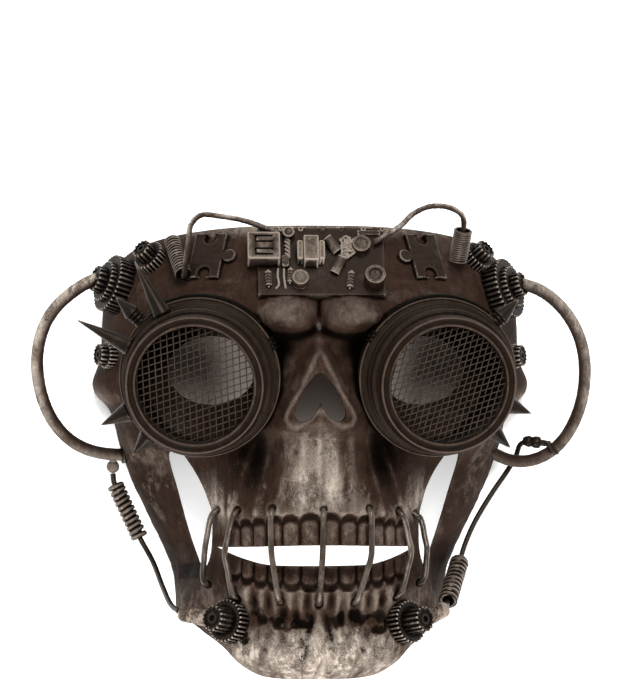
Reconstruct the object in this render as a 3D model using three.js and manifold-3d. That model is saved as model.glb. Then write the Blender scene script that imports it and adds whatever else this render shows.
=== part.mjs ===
// Steampunk skull mask: a moulded half shell of a skull with goggles, gears, spikes, hoses, coils,
// a circuit board on the forehead and wires that stitch the jaws together.
// It lies on its back rim with the face up. Millimetres. The face looks along +Z, the forehead is
// towards +Y, and "left" and "right" are the viewer's, so left is -X.
import * as THREE from "three";
import { mergeVertices } from "three/addons/utils/BufferGeometryUtils.js";
import Module from "manifold-3d";

const wasm = await Module();
wasm.setup();

// Driving dimensions
const WALL = 2.2; // thickness of the moulded shell
const GAP = 0.4; // clearance between a piece and the bone that carries it
const SEAT = 0.3; // clearance between two pieces that fit each other
const MIDDLE = { x: 0.3, y: 9.65 }; // the middle of the whole mask in the face's own lines
const DEGREE = Math.PI / 180;

// The bone, as level sections from the forehead to the chin. Each has two lobes round the head's
// axis: the cranium with the jaw's rear straps, and the face with the two rows of teeth.
// Columns: half width at the rim and depth in front of the rim, for each lobe.
const SECTIONS = [
  { y: 112, craniumWide: 66, craniumDeep: 47, faceWide: 40, faceDeep: 36 },
  { y: 104, craniumWide: 74, craniumDeep: 54, faceWide: 44, faceDeep: 42 },
  { y: 95, craniumWide: 82, craniumDeep: 61, faceWide: 46, faceDeep: 50 },
  { y: 86, craniumWide: 89, craniumDeep: 66, faceWide: 48, faceDeep: 56 },
  { y: 72, craniumWide: 94, craniumDeep: 72, faceWide: 50, faceDeep: 61 },
  { y: 60, craniumWide: 95.5, craniumDeep: 74, faceWide: 50, faceDeep: 64 },
  { y: 46, craniumWide: 96, craniumDeep: 69, faceWide: 50, faceDeep: 71 },
  { y: 34, craniumWide: 98, craniumDeep: 64, faceWide: 51, faceDeep: 75 },
  { y: 20, craniumWide: 91, craniumDeep: 59, faceWide: 54, faceDeep: 78 },
  { y: 5, craniumWide: 87, craniumDeep: 54, faceWide: 57, faceDeep: 79.5 },
  { y: -12, craniumWide: 81, craniumDeep: 49, faceWide: 57, faceDeep: 80.5 },
  { y: -36, craniumWide: 69.5, craniumDeep: 43, faceWide: 55, faceDeep: 81 },
  { y: -50, craniumWide: 63.5, craniumDeep: 39, faceWide: 58, faceDeep: 79 },
  { y: -64, craniumWide: 59, craniumDeep: 35, faceWide: 60.5, faceDeep: 75.5 },
  { y: -76, craniumWide: 57, craniumDeep: 32, faceWide: 60, faceDeep: 77.5 },
  { y: -85, craniumWide: 54, craniumDeep: 30, faceWide: 57, faceDeep: 78 },
  { y: -94, craniumWide: 50, craniumDeep: 28, faceWide: 50, faceDeep: 68 },
  { y: -102, craniumWide: 46, craniumDeep: 26, faceWide: 44, faceDeep: 56 },
];
const CRANIUM_POWER = 2.3; // how square the level sections are: 2 is an ellipse
const FACE_POWER = 2.2;
const LOBE_BLEND = 7; // how widely the two lobes melt together

// Bulges and dents of the bone, mirrored on both sides: the middle, the half sizes and the lift.
const RELIEF = [
  { what: "brow", x: 17, y: 62, wide: 13, tall: 7, lift: 6.5 },
  { what: "brow_end", x: 48, y: 72, wide: 22, tall: 6, lift: 3 },
  { what: "brow_cleft", x: 0, y: 60, wide: 3.5, tall: 9, lift: -3.5 },
  { what: "inner_eye_corner", x: 24, y: 44, wide: 8, tall: 10, lift: -8 },
  { what: "eye_socket", x: 50, y: 37, wide: 20, tall: 17, lift: -6 },
  { what: "temple", x: 84, y: 58, wide: 9, tall: 14, lift: -2 },
  { what: "cheek_bone", x: 62, y: 8, wide: 14, tall: 7, lift: 4 },
  { what: "canine_hollow", x: 29, y: 6, wide: 9, tall: 13, lift: -6.5 },
  { what: "gum_ridge", x: 0, y: -20, wide: 40, tall: 6, lift: 1.5 },
  { what: "jaw_hollow", x: 12, y: -66, wide: 22, tall: 4.5, lift: -2 },
  { what: "chin_knob", x: 15, y: -83, wide: 12, tall: 7, lift: 3.5 },
  { what: "chin_cleft", x: 0, y: -86, wide: 3, tall: 8, lift: -1.5 },
];

// The nose: a raised spade-shaped rim round a hole, drawn as the half width of the rim at a height.
const NOSE = { tip: 49, foot: 16, halfWidth: 14.3, taper: 0.8, lift: 8.5, skirt: 4 };
const NOSE_FADE = { footFrom: -7, footTo: 2, tipFrom: -3, tipTo: 6 }; // where its lift begins and ends

// The top rim falls away to both sides, and the lower rim climbs from the chin to the jaw's corners.
const TOP_RIM = { middle: 103.6, fall: 15.6, power: 1.76 };
const LOWER_RIM = [
  { turn: 0, y: -93.5 },
  { turn: 20, y: -92.6 },
  { turn: 26, y: -89 },
  { turn: 34, y: -80.5 },
  { turn: 44, y: -75.5 },
  { turn: 60, y: -71 },
  { turn: 90, y: -69 },
];

// Openings seen from the front
const EYE_HOLE = { x: 46, y: 40, halfWide: 19, halfTall: 15 };
const MOUTH = { halfWide: 42, corner: -37.8, upper: -34.5, lower: -43.5, flat: 20, bend: [28, -42.9] };
const NOSE_HOLE = { tip: 39.5, widest: 22.3, halfWide: 11, foot: 18.4, notch: 26.6, footX: 7 };
const NOSE_BENDS = { side: [6.6, 36.5], notchX: 2.8 }; // where the curves of the nose hole are drawn to
// The gap between the cheek and the jaw's rear strap, from its top round by the strap's side.
const CHEEK_HOLE = [
  { x: 60, y: 4 },
  { x: 64.5, y: 2.5 },
  { x: 60.3, y: -14 },
  { x: 56, y: -30 },
  { x: 52, y: -42 },
  { x: 49, y: -47.5 },
  { x: 46, y: -40 },
  { x: 45.5, y: -25 },
  { x: 47, y: -18 },
  { x: 51, y: -8.5 },
  { x: 56.5, y: 0.5 },
];

// Teeth along the face lobe, from the middle out
const TOOTH_WIDTHS = [8.3, 7.6, 7.4, 7.2, 7];
const TOOTH_ROWS = [
  { middle: -29.8, halfTall: 7, proud: 1.3, drop: 2.7 },
  { middle: -49.2, halfTall: 6.4, proud: 1.1, drop: -2.1 },
];
const TOOTH_SHARE = 0.52; // a tooth's half width as a share of its place in the row, so that they meet
const TOOTH_FACETS = { round: 6, tall: 3 };

// Value of one column at a place, on a smooth curve through the rows.
function smoothColumn(rows, along, column, at) {
  const rising = rows[0][along] < rows[rows.length - 1][along] ? rows : [...rows].reverse();
  const last = rising.length - 1;
  if (at <= rising[0][along]) return rising[0][column];
  if (at >= rising[last][along]) return rising[last][column];
  const i = rising.findIndex((row) => row[along] > at) - 1;
  const slope = (j) => {
    const a = rising[Math.max(j - 1, 0)];
    const b = rising[Math.min(j + 1, last)];
    return (b[column] - a[column]) / (b[along] - a[along]);
  };
  const span = rising[i + 1][along] - rising[i][along];
  const t = (at - rising[i][along]) / span;
  return (
    rising[i][column] * (1 - t) ** 2 * (1 + 2 * t) +
    rising[i + 1][column] * t ** 2 * (3 - 2 * t) +
    span * t * (1 - t) * (slope(i) * (1 - t) - slope(i + 1) * t)
  );
}

// Half an oval round the head's axis: its radius at a turn from straight ahead.
function lobeRadius(turn, wide, deep, power) {
  const across = Math.abs(Math.sin(turn) / wide) ** power;
  const ahead = Math.abs(Math.cos(turn) / deep) ** power;
  return (across + ahead) ** (-1 / power);
}

function smoothMax(a, b, blend) {
  const near = Math.max(blend - Math.abs(a - b), 0) / blend;
  return Math.max(a, b) + (near * near * blend) / 4;
}

const smoothStep = (from, to, at) => THREE.MathUtils.smoothstep((at - from) / (to - from), 0, 1);

// Half width of the nose's rim at a height.
const noseWidth = (y) =>
  NOSE.halfWidth * Math.max((NOSE.tip - y) / (NOSE.tip - NOSE_HOLE.widest), 0) ** NOSE.taper;

function noseLift(x, y) {
  const rim = Math.min(noseWidth(y), NOSE.halfWidth) + NOSE.skirt;
  const begun = smoothStep(NOSE.foot + NOSE_FADE.footFrom, NOSE.foot + NOSE_FADE.footTo, y);
  const ended = smoothStep(NOSE.tip + NOSE_FADE.tipFrom, NOSE.tip + NOSE_FADE.tipTo, y);
  return NOSE.lift * begun * (1 - ended) * Math.exp(-((x / rim) ** 4));
}

// How far the relief lifts the bone at a place in the front view.
function reliefLift(x, y) {
  const bumps = RELIEF.map(
    (r) => r.lift * Math.exp(-(((Math.abs(x) - r.x) / r.wide) ** 2) - ((y - r.y) / r.tall) ** 2),
  );
  return bumps.reduce((sum, lift) => sum + lift, noseLift(x, y));
}

// Radius of the bone from the head's axis before its relief, at a turn from straight ahead.
function plainRadius(turn, y) {
  const column = (name) => smoothColumn(SECTIONS, "y", name, y);
  const cranium = lobeRadius(turn, column("craniumWide"), column("craniumDeep"), CRANIUM_POWER);
  const face = lobeRadius(turn, column("faceWide"), column("faceDeep"), FACE_POWER);
  return smoothMax(cranium, face, LOBE_BLEND);
}

function boneRadius(turn, y) {
  const radius = plainRadius(turn, y);
  return radius + reliefLift(radius * Math.sin(turn), y);
}

const topRim = (turn) => TOP_RIM.middle - TOP_RIM.fall * (1 - Math.cos(turn)) ** TOP_RIM.power;
const lowerRim = (turn) => smoothColumn(LOWER_RIM, "turn", "y", Math.abs(turn) / DEGREE);

const bonePoint = (turn, y, grow = 0) => {
  const radius = boneRadius(turn, y) + grow;
  return new THREE.Vector3(radius * Math.sin(turn), y, radius * Math.cos(turn));
};

// The turn at which the bone's outer face has a given x, seen from the front.
function turnAt(x, y) {
  let low = 0;
  let high = Math.PI / 2;
  for (let step = 0; step < 40; step++) {
    const middle = (low + high) / 2;
    if (boneRadius(middle, y) * Math.sin(middle) < Math.abs(x)) low = middle;
    else high = middle;
  }
  return Math.sign(x) * low;
}

// A point on the bone's outer face below a place in the front view, with the normal there.
function skin(x, y, grow = 0) {
  const turn = turnAt(x, y);
  const step = 0.02;
  const across = bonePoint(turn + step, y).sub(bonePoint(turn - step, y));
  const up = bonePoint(turn, y + 1).sub(bonePoint(turn, y - 1));
  const normal = across.cross(up).normalize();
  return { point: bonePoint(turn, y).addScaledVector(normal, grow), normal };
}

// Triangles of a three.js geometry as a solid, and back.
function solid(geometry) {
  const bare = new THREE.BufferGeometry().setAttribute("position", geometry.getAttribute("position"));
  if (geometry.index) bare.setIndex(geometry.index);
  const merged = mergeVertices(bare, 1e-4);
  const triVerts = new Uint32Array(merged.index.array);
  const vertProperties = new Float32Array(merged.attributes.position.array);
  return new wasm.Manifold(new wasm.Mesh({ numProp: 3, vertProperties, triVerts }));
}

function geometryOf(body) {
  const made = body.getMesh();
  const positions = new Float32Array(made.numVert * 3);
  for (let i = 0; i < made.numVert; i++)
    positions.set(made.vertProperties.subarray(i * made.numProp, i * made.numProp + 3), i * 3);
  const geometry = new THREE.BufferGeometry();
  geometry.setAttribute("position", new THREE.BufferAttribute(positions, 3));
  geometry.setIndex(new THREE.BufferAttribute(new Uint32Array(made.triVerts), 1));
  return geometry;
}

// A solid that fills the head's axis out to a radius, between a lower and an upper rim.
function polarSolid({ radius, reach, top, bottom, across, tall, crowd, axisOver = 0 }) {
  const positions = [];
  const triangles = [];
  const add = (point) => positions.push(point.x, point.y, point.z) / 3 - 1;
  const columns = [];
  for (let i = 0; i <= across; i++) {
    const t = (2 * i) / across - 1;
    const turn = reach * (crowd * t + (1 - crowd) * t ** 3);
    const column = [];
    for (let j = 0; j <= tall; j++) {
      const y = THREE.MathUtils.lerp(bottom(turn), top(turn), j / tall);
      const r = radius(turn, y);
      column.push(add(new THREE.Vector3(r * Math.sin(turn), y, r * Math.cos(turn))));
    }
    columns.push(column);
  }
  const axisEnds = [bottom(reach) - axisOver, top(reach) + axisOver];
  const axis = axisEnds.map((y) => add(new THREE.Vector3(0, y, 0)));
  for (let i = 0; i < across; i++) {
    const [here, next] = [columns[i], columns[i + 1]];
    for (let j = 0; j < tall; j++)
      triangles.push(here[j], next[j], next[j + 1], here[j], next[j + 1], here[j + 1]);
    triangles.push(axis[0], next[0], here[0], axis[1], here[tall], next[tall]);
  }
  for (const [edge, flip] of [[columns[0], false], [columns[across], true]]) {
    const rim = [axis[0], ...edge, axis[1]];
    for (let j = 1; j < rim.length - 1; j++)
      triangles.push(...(flip ? [rim[0], rim[j + 1], rim[j]] : [rim[0], rim[j], rim[j + 1]]));
  }
  const geometry = new THREE.BufferGeometry();
  geometry.setAttribute("position", new THREE.Float32BufferAttribute(positions, 3));
  geometry.setIndex(triangles);
  return solid(geometry);
}

const OUTSIDE = { across: 26, tall: 27 }; // facets round the head and up it
const INSIDE = { across: 18, tall: 17 };
const CROWD = 0.8; // under 1 the facets are narrower in the middle of the face
const boneSolid = (grow) =>
  polarSolid({
    radius: (turn, y) => boneRadius(turn, y) + grow,
    reach: Math.PI / 2,
    top: topRim,
    bottom: lowerRim,
    ...OUTSIDE,
    crowd: CROWD,
  });

// The inside is plainer than the outside: its relief is the lowest of the places nearby.
const NEARBY = 5;
const OVERRUN = { turn: 10, rim: 4, axis: 30 }; // how far the hollow runs out past the bone's edges
function hollowRadius(turn, y) {
  const radius = plainRadius(turn, y);
  const x = radius * Math.sin(turn);
  const steps = [-NEARBY, 0, NEARBY];
  const lifts = steps.flatMap((across) => steps.map((up) => reliefLift(x + across, y + up)));
  return radius + Math.min(...lifts) - WALL;
}
const hollowSolid = polarSolid({
  radius: hollowRadius,
  reach: Math.PI / 2 + OVERRUN.turn * DEGREE,
  top: (turn) => topRim(turn) + OVERRUN.rim,
  bottom: (turn) => lowerRim(turn) - OVERRUN.rim,
  ...INSIDE,
  crowd: CROWD,
  axisOver: OVERRUN.axis,
});
const bone = boneSolid(0);
const boneWithGap = boneSolid(GAP);

// An outline in the front view, cut straight back through the shell.
const CUT = { from: 5, depth: 140 };
const CURVE_FACETS = { mouth: 4, nose: 2, eye: 7, cheek: 1 }; // straight stretches in each curve
function frontCutter(shape, curveSegments) {
  const geometry = new THREE.ExtrudeGeometry(shape, { depth: CUT.depth, bevelEnabled: false, curveSegments });
  return solid(geometry.translate(0, 0, CUT.from));
}

const polygon = (points) => new THREE.Shape(points.map((p) => new THREE.Vector2(p.x, p.y)));
const mirrored = (points) => points.map((p) => ({ ...p, x: -p.x })).reverse();

function eyeHole(side) {
  const { x, y, halfWide, halfTall } = EYE_HOLE;
  return new THREE.Shape().absellipse(side * x, y, halfWide, halfTall, 0, 2 * Math.PI, false);
}

function mouthHole() {
  const { halfWide, corner, upper, lower, flat, bend } = MOUTH;
  const shape = new THREE.Shape().moveTo(-halfWide, corner);
  shape.quadraticCurveTo(-bend[0], bend[1], -flat, lower).lineTo(flat, lower);
  shape.quadraticCurveTo(bend[0], bend[1], halfWide, corner);
  shape.quadraticCurveTo(flat, upper, 0, upper);
  return shape.quadraticCurveTo(-flat, upper, -halfWide, corner);
}

function noseHole() {
  const { tip, widest, halfWide, foot, notch, footX } = NOSE_HOLE;
  const { side, notchX } = NOSE_BENDS;
  const shape = new THREE.Shape().moveTo(0, tip);
  shape.quadraticCurveTo(-side[0], side[1], -halfWide, widest);
  shape.quadraticCurveTo(-halfWide, foot, -footX, foot);
  shape.quadraticCurveTo(-notchX, foot, 0, notch);
  shape.quadraticCurveTo(notchX, foot, footX, foot);
  shape.quadraticCurveTo(halfWide, foot, halfWide, widest);
  return shape.quadraticCurveTo(side[0], side[1], 0, tip);
}

// Half-sunk beads along each row, widths from the middle out, give the teeth.
function teeth() {
  const made = [];
  for (const { middle, halfTall, proud, drop } of TOOTH_ROWS) {
    for (const side of [-1, 1]) {
      let walked = 0;
      let turn = 0;
      for (const [place, width] of TOOTH_WIDTHS.entries()) {
        const y = middle - drop * (place / TOOTH_WIDTHS.length) ** 2;
        while (walked < width / 2) {
          const step = DEGREE / 4;
          walked += bonePoint(turn + step, y).distanceTo(bonePoint(turn, y));
          turn += step;
        }
        walked -= width;
        const { point, normal } = skin(side * boneRadius(turn, y) * Math.sin(turn), y);
        const bead = new THREE.SphereGeometry(1, TOOTH_FACETS.round, TOOTH_FACETS.tall).rotateX(Math.PI / 2);
        bead.scale(width * TOOTH_SHARE, halfTall, WALL / 2 + proud);
        const tooth = new THREE.Mesh(bead);
        tooth.position.copy(point).addScaledVector(normal, -WALL / 2);
        tooth.lookAt(tooth.position.clone().add(new THREE.Vector3(normal.x, 0, normal.z)));
        tooth.updateMatrixWorld();
        made.push(solid(bead.applyMatrix4(tooth.matrixWorld)));
      }
    }
  }
  return made;
}

function skullShell() {
  const holes = [
    frontCutter(mouthHole(), CURVE_FACETS.mouth),
    frontCutter(noseHole(), CURVE_FACETS.nose),
    frontCutter(eyeHole(-1), CURVE_FACETS.eye),
    frontCutter(eyeHole(1), CURVE_FACETS.eye),
    frontCutter(polygon(CHEEK_HOLE), CURVE_FACETS.cheek),
    frontCutter(polygon(mirrored(CHEEK_HOLE)), CURVE_FACETS.cheek),
  ];
  const filled = teeth().reduce((body, tooth) => body.add(tooth), bone);
  return [hollowSolid, ...holes].reduce((body, hole) => body.subtract(hole), filled);
}

const MATERIALS = {
  bone: new THREE.MeshStandardMaterial({ color: 0x51453d, roughness: 0.6, metalness: 0.1 }),
  goggle: new THREE.MeshStandardMaterial({ color: 0x3f342e, roughness: 0.5, metalness: 0.2 }),
  screen: new THREE.MeshStandardMaterial({ color: 0x1f1b19, roughness: 0.5, metalness: 0.4 }),
  gear: new THREE.MeshStandardMaterial({ color: 0x2f2a28, roughness: 0.45, metalness: 0.3 }),
  spike: new THREE.MeshStandardMaterial({ color: 0x4a3c34, roughness: 0.45, metalness: 0.3 }),
  hose: new THREE.MeshStandardMaterial({ color: 0x4d3e36, roughness: 0.5, metalness: 0.1 }),
  wire: new THREE.MeshStandardMaterial({ color: 0x2e2724, roughness: 0.5, metalness: 0.2 }),
  board: new THREE.MeshStandardMaterial({ color: 0x453a34, roughness: 0.55, metalness: 0.1 }),
};

const group = new THREE.Group();
group.position.set(-MIDDLE.x, -MIDDLE.y, 0);

function add(name, geometry, material, parent = group) {
  const mesh = new THREE.Mesh(geometry, material.clone());
  mesh.name = name;
  parent.add(mesh);
  return mesh;
}

// Turns a mesh or group so that its own +Z looks along a direction, from a place.
function aim(object, place, direction) {
  const turn = new THREE.Matrix4().lookAt(direction, new THREE.Vector3(), object.up);
  object.quaternion.setFromRotationMatrix(turn);
  object.position.copy(place);
  object.updateMatrix();
  return object;
}

// A solid aimed from a place, with everything taken off it that would touch the bone.
function seated(geometry, place, direction) {
  const carrier = aim(new THREE.Object3D(), place, direction);
  return geometryOf(solid(geometry.clone().applyMatrix4(carrier.matrix)).subtract(boneWithGap));
}

const clearOfBone = (geometry) => geometryOf(solid(geometry).subtract(boneWithGap));
const sideName = (side) => (side < 0 ? "left" : "right");
const circle = (radius, sides) =>
  new THREE.Shape(
    Array.from({ length: sides }, (_, i) => {
      const turn = (2 * Math.PI * i) / sides;
      return new THREE.Vector2(radius * Math.cos(turn), radius * Math.sin(turn));
    }),
  );
const route = (points) => points.map(([x, y, z]) => new THREE.Vector3(x, y, z));

function tube(points, radius, sides, steps) {
  const extrudePath = new THREE.CatmullRomCurve3(points, false, "centripetal");
  return new THREE.ExtrudeGeometry(circle(radius, sides), { steps, extrudePath, bevelEnabled: false });
}

// A turned piece whose profile is given as radius and height; its axis is +Z.
function turned(profile, sides) {
  const points = profile.map(([radius, height]) => new THREE.Vector2(radius, height));
  return new THREE.LatheGeometry(points, sides).rotateX(Math.PI / 2);
}

// The skull
add("skull_shell", geometryOf(skullShell()), MATERIALS.bone);

// Goggles: heights are measured forward from the front face, so the barrel's are negative.
const GOGGLE = { x: 53.8, y: 34, z: 96, leanOut: 0.115, leanDown: 0.15, sides: 18 };
const RIM = { outer: 29.4, lip: 24.9, bore: 27.3, lipDeep: 2, deep: 6.5, edge: 1 };
const BARREL = { bore: 25.2, neck: 27, body: 31.5, flange: 33.5, wall: 2.4 };
const BARREL_STEPS = { neck: -3.8, shoulder: -6.8, flange: -19, end: -85 };
const SCREEN = { radius: 26.4, top: -2.3, thick: 1, pitch: 9.2, wire: 1.8, slope: 20, field: 24.6 };

function goggleRim() {
  const { outer, lip, bore, lipDeep, deep, edge } = RIM;
  const outside = [[outer, -deep], [outer, -edge], [outer - edge, 0], [lip, 0]];
  const inside = [[lip, -lipDeep], [bore, -lipDeep], [bore, -deep], [outer, -deep]];
  return turned([...outside, ...inside], GOGGLE.sides);
}

function goggleBarrel() {
  const { bore, neck, body, flange, wall } = BARREL;
  const { neck: neckTop, shoulder, flange: flangeTop, end } = BARREL_STEPS;
  const inside = flange - wall;
  const ceiling = shoulder - wall;
  const skirt = [[inside, end], [flange, end], [flange, flangeTop], [body, flangeTop]];
  const neckRing = [[body, shoulder], [neck, shoulder], [neck, neckTop], [bore, neckTop]];
  return turned([...skirt, ...neckRing, [bore, ceiling], [inside, ceiling], [inside, end]], GOGGLE.sides);
}

// Wires run up and down and on a slope; the openings between them are cut through the disc.
function goggleScreen() {
  const { radius, top, thick, pitch, wire, slope, field } = SCREEN;
  const plateOf = (shape) => solid(new THREE.ExtrudeGeometry(shape, { depth: thick, bevelEnabled: false }));
  let disc = plateOf(circle(radius, GOGGLE.sides));
  const rise = Math.tan(slope * DEGREE);
  const half = (pitch - wire) / 2;
  const reach = Math.ceil(field / pitch);
  for (let i = -reach; i <= reach; i++)
    for (let j = -2 * reach; j <= 2 * reach; j++) {
      const corners = [[-1, -1], [1, -1], [1, 1], [-1, 1]].map(([a, b]) => {
        const x = i * pitch + a * half;
        return new THREE.Vector2(x, j * pitch + b * half + x * rise);
      });
      const whole = corners.every((corner) => corner.length() < field);
      if (whole) disc = disc.subtract(plateOf(new THREE.Shape(corners)));
    }
  return geometryOf(disc).translate(0, 0, top - thick);
}

const goggles = {};
for (const side of [-1, 1]) {
  const frame = new THREE.Group();
  const direction = new THREE.Vector3(side * GOGGLE.leanOut, -GOGGLE.leanDown, 1).normalize();
  const place = new THREE.Vector3(side * GOGGLE.x, GOGGLE.y, GOGGLE.z);
  group.add(aim(frame, place, direction));
  goggles[side] = frame;
  add(`goggle_barrel_${sideName(side)}`, seated(goggleBarrel(), place, direction), MATERIALS.goggle);
  add(`goggle_rim_${sideName(side)}`, goggleRim(), MATERIALS.goggle, frame);
  add(`goggle_screen_${sideName(side)}`, goggleScreen(), MATERIALS.screen, frame);
}

// Spikes stand on the barrels, pointing away from the goggle's axis. Angles turn left from +X.
const SPIKES = [
  { name: "left_1", side: -1, angle: 117, base: 32, long: 25, radius: 4, height: -13.5, stub: 0 },
  { name: "left_2", side: -1, angle: 136, base: 34, long: 10, radius: 3.6, height: -23.5, stub: 5.5 },
  { name: "left_3", side: -1, angle: 153, base: 32, long: 25, radius: 4, height: -13.5, stub: 0 },
  { name: "left_4", side: -1, angle: 206, base: 34, long: 10, radius: 3.8, height: -23.5, stub: 0 },
  { name: "left_5", side: -1, angle: 229, base: 34, long: 10, radius: 3.8, height: -23.5, stub: 0 },
  { name: "right_1", side: 1, angle: 44, base: 34, long: 11, radius: 3.8, height: -23.5, stub: 3.5 },
  { name: "right_2", side: 1, angle: -21, base: 34, long: 9, radius: 3.6, height: -23.5, stub: 0 },
  { name: "right_3", side: 1, angle: -43, base: 34, long: 9, radius: 3.6, height: -23.5, stub: 0 },
];
const SPIKE_SIDES = 8;
const SPIKE_FOOT = 1.2; // height of the straight part at a spike's foot
const STUB_SHARE = 0.85; // radius of the stub under a spike, as a share of the spike's
for (const { name, side, angle, base, long, radius, height, stub } of SPIKES) {
  const stubRadius = radius * STUB_SHARE;
  const stubProfile = stub ? [[0, 0], [stubRadius, 0], [stubRadius, stub]] : [[0, 0]];
  const profile = [...stubProfile, [radius, stub], [radius, stub + SPIKE_FOOT], [0, stub + long]];
  const away = new THREE.Vector3(Math.cos(angle * DEGREE), Math.sin(angle * DEGREE), 0);
  const spike = add(`spike_${name}`, turned(profile, SPIKE_SIDES), MATERIALS.spike, goggles[side]);
  spike.position.copy(away).multiplyScalar(base).setZ(height);
  spike.quaternion.setFromUnitVectors(new THREE.Vector3(0, 0, 1), away);
}

// Gears: stacks of toothed wheels on the bone, widest first.
const TOOTH_DEPTH = 0.2; // share of a wheel's radius that its teeth take
const LIFT = 0.7; // how far a stack's flat back is held off the bone in its middle
const OVERLAP = 0.5; // how far two joined bodies run into each other
const wheel = (radius, thick, teeth) => ({ radius, thick, teeth });
const TEMPLE_LEFT_WHEELS = [wheel(13, 5, 12), wheel(9.2, 2.5, 10), wheel(5.9, 4, 8)];
const TEMPLE_RIGHT_WHEELS = [wheel(13.6, 5, 12), wheel(9.2, 2.5, 10), wheel(5.4, 4, 8)];
const GEARS = [
  { name: "temple_left", x: -87, y: 77.5, wheels: TEMPLE_LEFT_WHEELS },
  { name: "temple_right", x: 83, y: 75.5, wheels: TEMPLE_RIGHT_WHEELS },
  { name: "brow_left", x: -71.8, y: 89, wheels: [wheel(7.3, 3, 10), wheel(4.5, 5, 8)] },
  { name: "brow_right", x: 71.5, y: 89.5, wheels: [wheel(7, 3, 10), wheel(4.6, 4.5, 8)] },
  { name: "cheek_left", x: -90, y: 46.5, wheels: [wheel(6, 3, 10), wheel(4.8, 5, 8)] },
  { name: "cheek_right", x: 88.5, y: 46, wheels: [wheel(5.6, 3, 10), wheel(4.8, 4, 8)] },
  { name: "jaw_left", x: -37.5, y: -69, wheels: [wheel(9.2, 4.5, 11), wheel(5.5, 8.5, 8)] },
  { name: "jaw_right", x: 37.5, y: -70, wheels: [wheel(9.2, 4.5, 11), wheel(5.5, 8.5, 8)] },
];

function toothedWheel(radius, thick, teeth) {
  const corners = Array.from({ length: 2 * teeth }, (_, i) => {
    const turn = (Math.PI * i) / teeth;
    const reach = radius * (i % 2 ? 1 - TOOTH_DEPTH : 1);
    return new THREE.Vector2(reach * Math.cos(turn), reach * Math.sin(turn));
  });
  return new THREE.ExtrudeGeometry(new THREE.Shape(corners), { depth: thick, bevelEnabled: false });
}

const gearFaces = {};
for (const { name, x, y, wheels } of GEARS) {
  const { point, normal } = skin(x, y, LIFT);
  let height = 0;
  let stack;
  for (const { radius, thick, teeth } of wheels) {
    const below = stack ? OVERLAP : 0;
    const layer = solid(toothedWheel(radius, thick + below, teeth).translate(0, 0, height - below));
    stack = stack ? stack.add(layer) : layer;
    height += thick;
  }
  add(`gear_${name}`, seated(geometryOf(stack), point, normal), MATERIALS.gear);
  gearFaces[name] = { point: point.clone().addScaledVector(normal, height + SEAT), normal };
}

// Hoses: stiff loops from the temple gears' outer faces down to the cheeks.
const HOSE_RADIUS = 2.8;
const HOSE_SIDES = 6;
const HOSE_STEPS = 17;
const HOSE_START = 3; // how far a hose first runs straight out of its gear
const HOSE_ROUTES = {
  temple_left: [
    [-107, 74, 34], [-116.5, 63.5, 30], [-123, 50, 28], [-122.5, 31, 25],
    [-115, 15, 20], [-103, 5, 15], [-92, 2, 12], [-83, 2, 10],
  ],
  temple_right: [
    [105, 72, 36], [115.5, 62.5, 32], [122.5, 47, 27], [124.5, 29, 23], [120, 15, 19],
    [112, 5.5, 15], [103, -1.5, 12], [94, -2.5, 12], [86, 1, 15], [78, 6, 19],
  ],
};
for (const [gear, points] of Object.entries(HOSE_ROUTES)) {
  const { point, normal } = gearFaces[gear];
  const path = [point, point.clone().addScaledVector(normal, HOSE_START), ...route(points)];
  const hose = clearOfBone(tube(path, HOSE_RADIUS, HOSE_SIDES, HOSE_STEPS));
  add(gear.replace("temple", "hose"), hose, MATERIALS.hose);
}

// Wound sleeves: a bore for the wire and one rib for each drawn turn.
const WIRE_RADIUS = 1.2;
const WIRE_SIDES = 5;
const RIB_DEPTH = 0.8;
const SLEEVE_SIDES = 6;
const SLEEVE_PLAY = 1; // room between a wire and the sleeve round it
function woundSleeve(radius, length, turns) {
  const bore = WIRE_RADIUS + SLEEVE_PLAY;
  const pitch = length / turns;
  const profile = [[bore, 0]];
  for (let i = 0; i < turns; i++)
    profile.push([radius - RIB_DEPTH, i * pitch], [radius, (i + 0.5) * pitch]);
  profile.push([radius - RIB_DEPTH, length], [bore, length], [bore, 0]);
  return turned(profile, SLEEVE_SIDES);
}
const SLEEVES = [
  { name: "coil_left", from: [-63, 96.5, 49], to: [-58.4, 82, 65.5], radius: 3.7, turns: 4 },
  { name: "coil_right", from: [62, 88.5, 57], to: [63.7, 101, 62], radius: 4.1, turns: 4 },
  { name: "jaw_spring_left", from: [-88.6, -13, 12], to: [-78.2, -35, 14.5], radius: 3.9, turns: 4 },
  { name: "jaw_spring_right", from: [67.4, -48, 17], to: [59.4, -62, 42.5], radius: 4.3, turns: 4 },
];
const sleeveEnds = {};
const STRAIGHT = 2; // a wire runs straight for this long outside a sleeve's ends
// The stretch of a wire's route that goes through a sleeve.
function threaded(name) {
  const [start, end] = sleeveEnds[name];
  const along = end.clone().sub(start).normalize();
  const before = start.clone().addScaledVector(along, -STRAIGHT);
  const after = end.clone().addScaledVector(along, STRAIGHT);
  return [before, start, start.clone().lerp(end, 0.5), end, after];
}
for (const { name, from, to, radius, turns } of SLEEVES) {
  const [start, end] = route([from, to]);
  const along = end.clone().sub(start);
  const sleeve = add(name, woundSleeve(radius, along.length(), turns), MATERIALS.wire);
  aim(sleeve, start, along);
  sleeveEnds[name] = [start, end];
}

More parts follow.
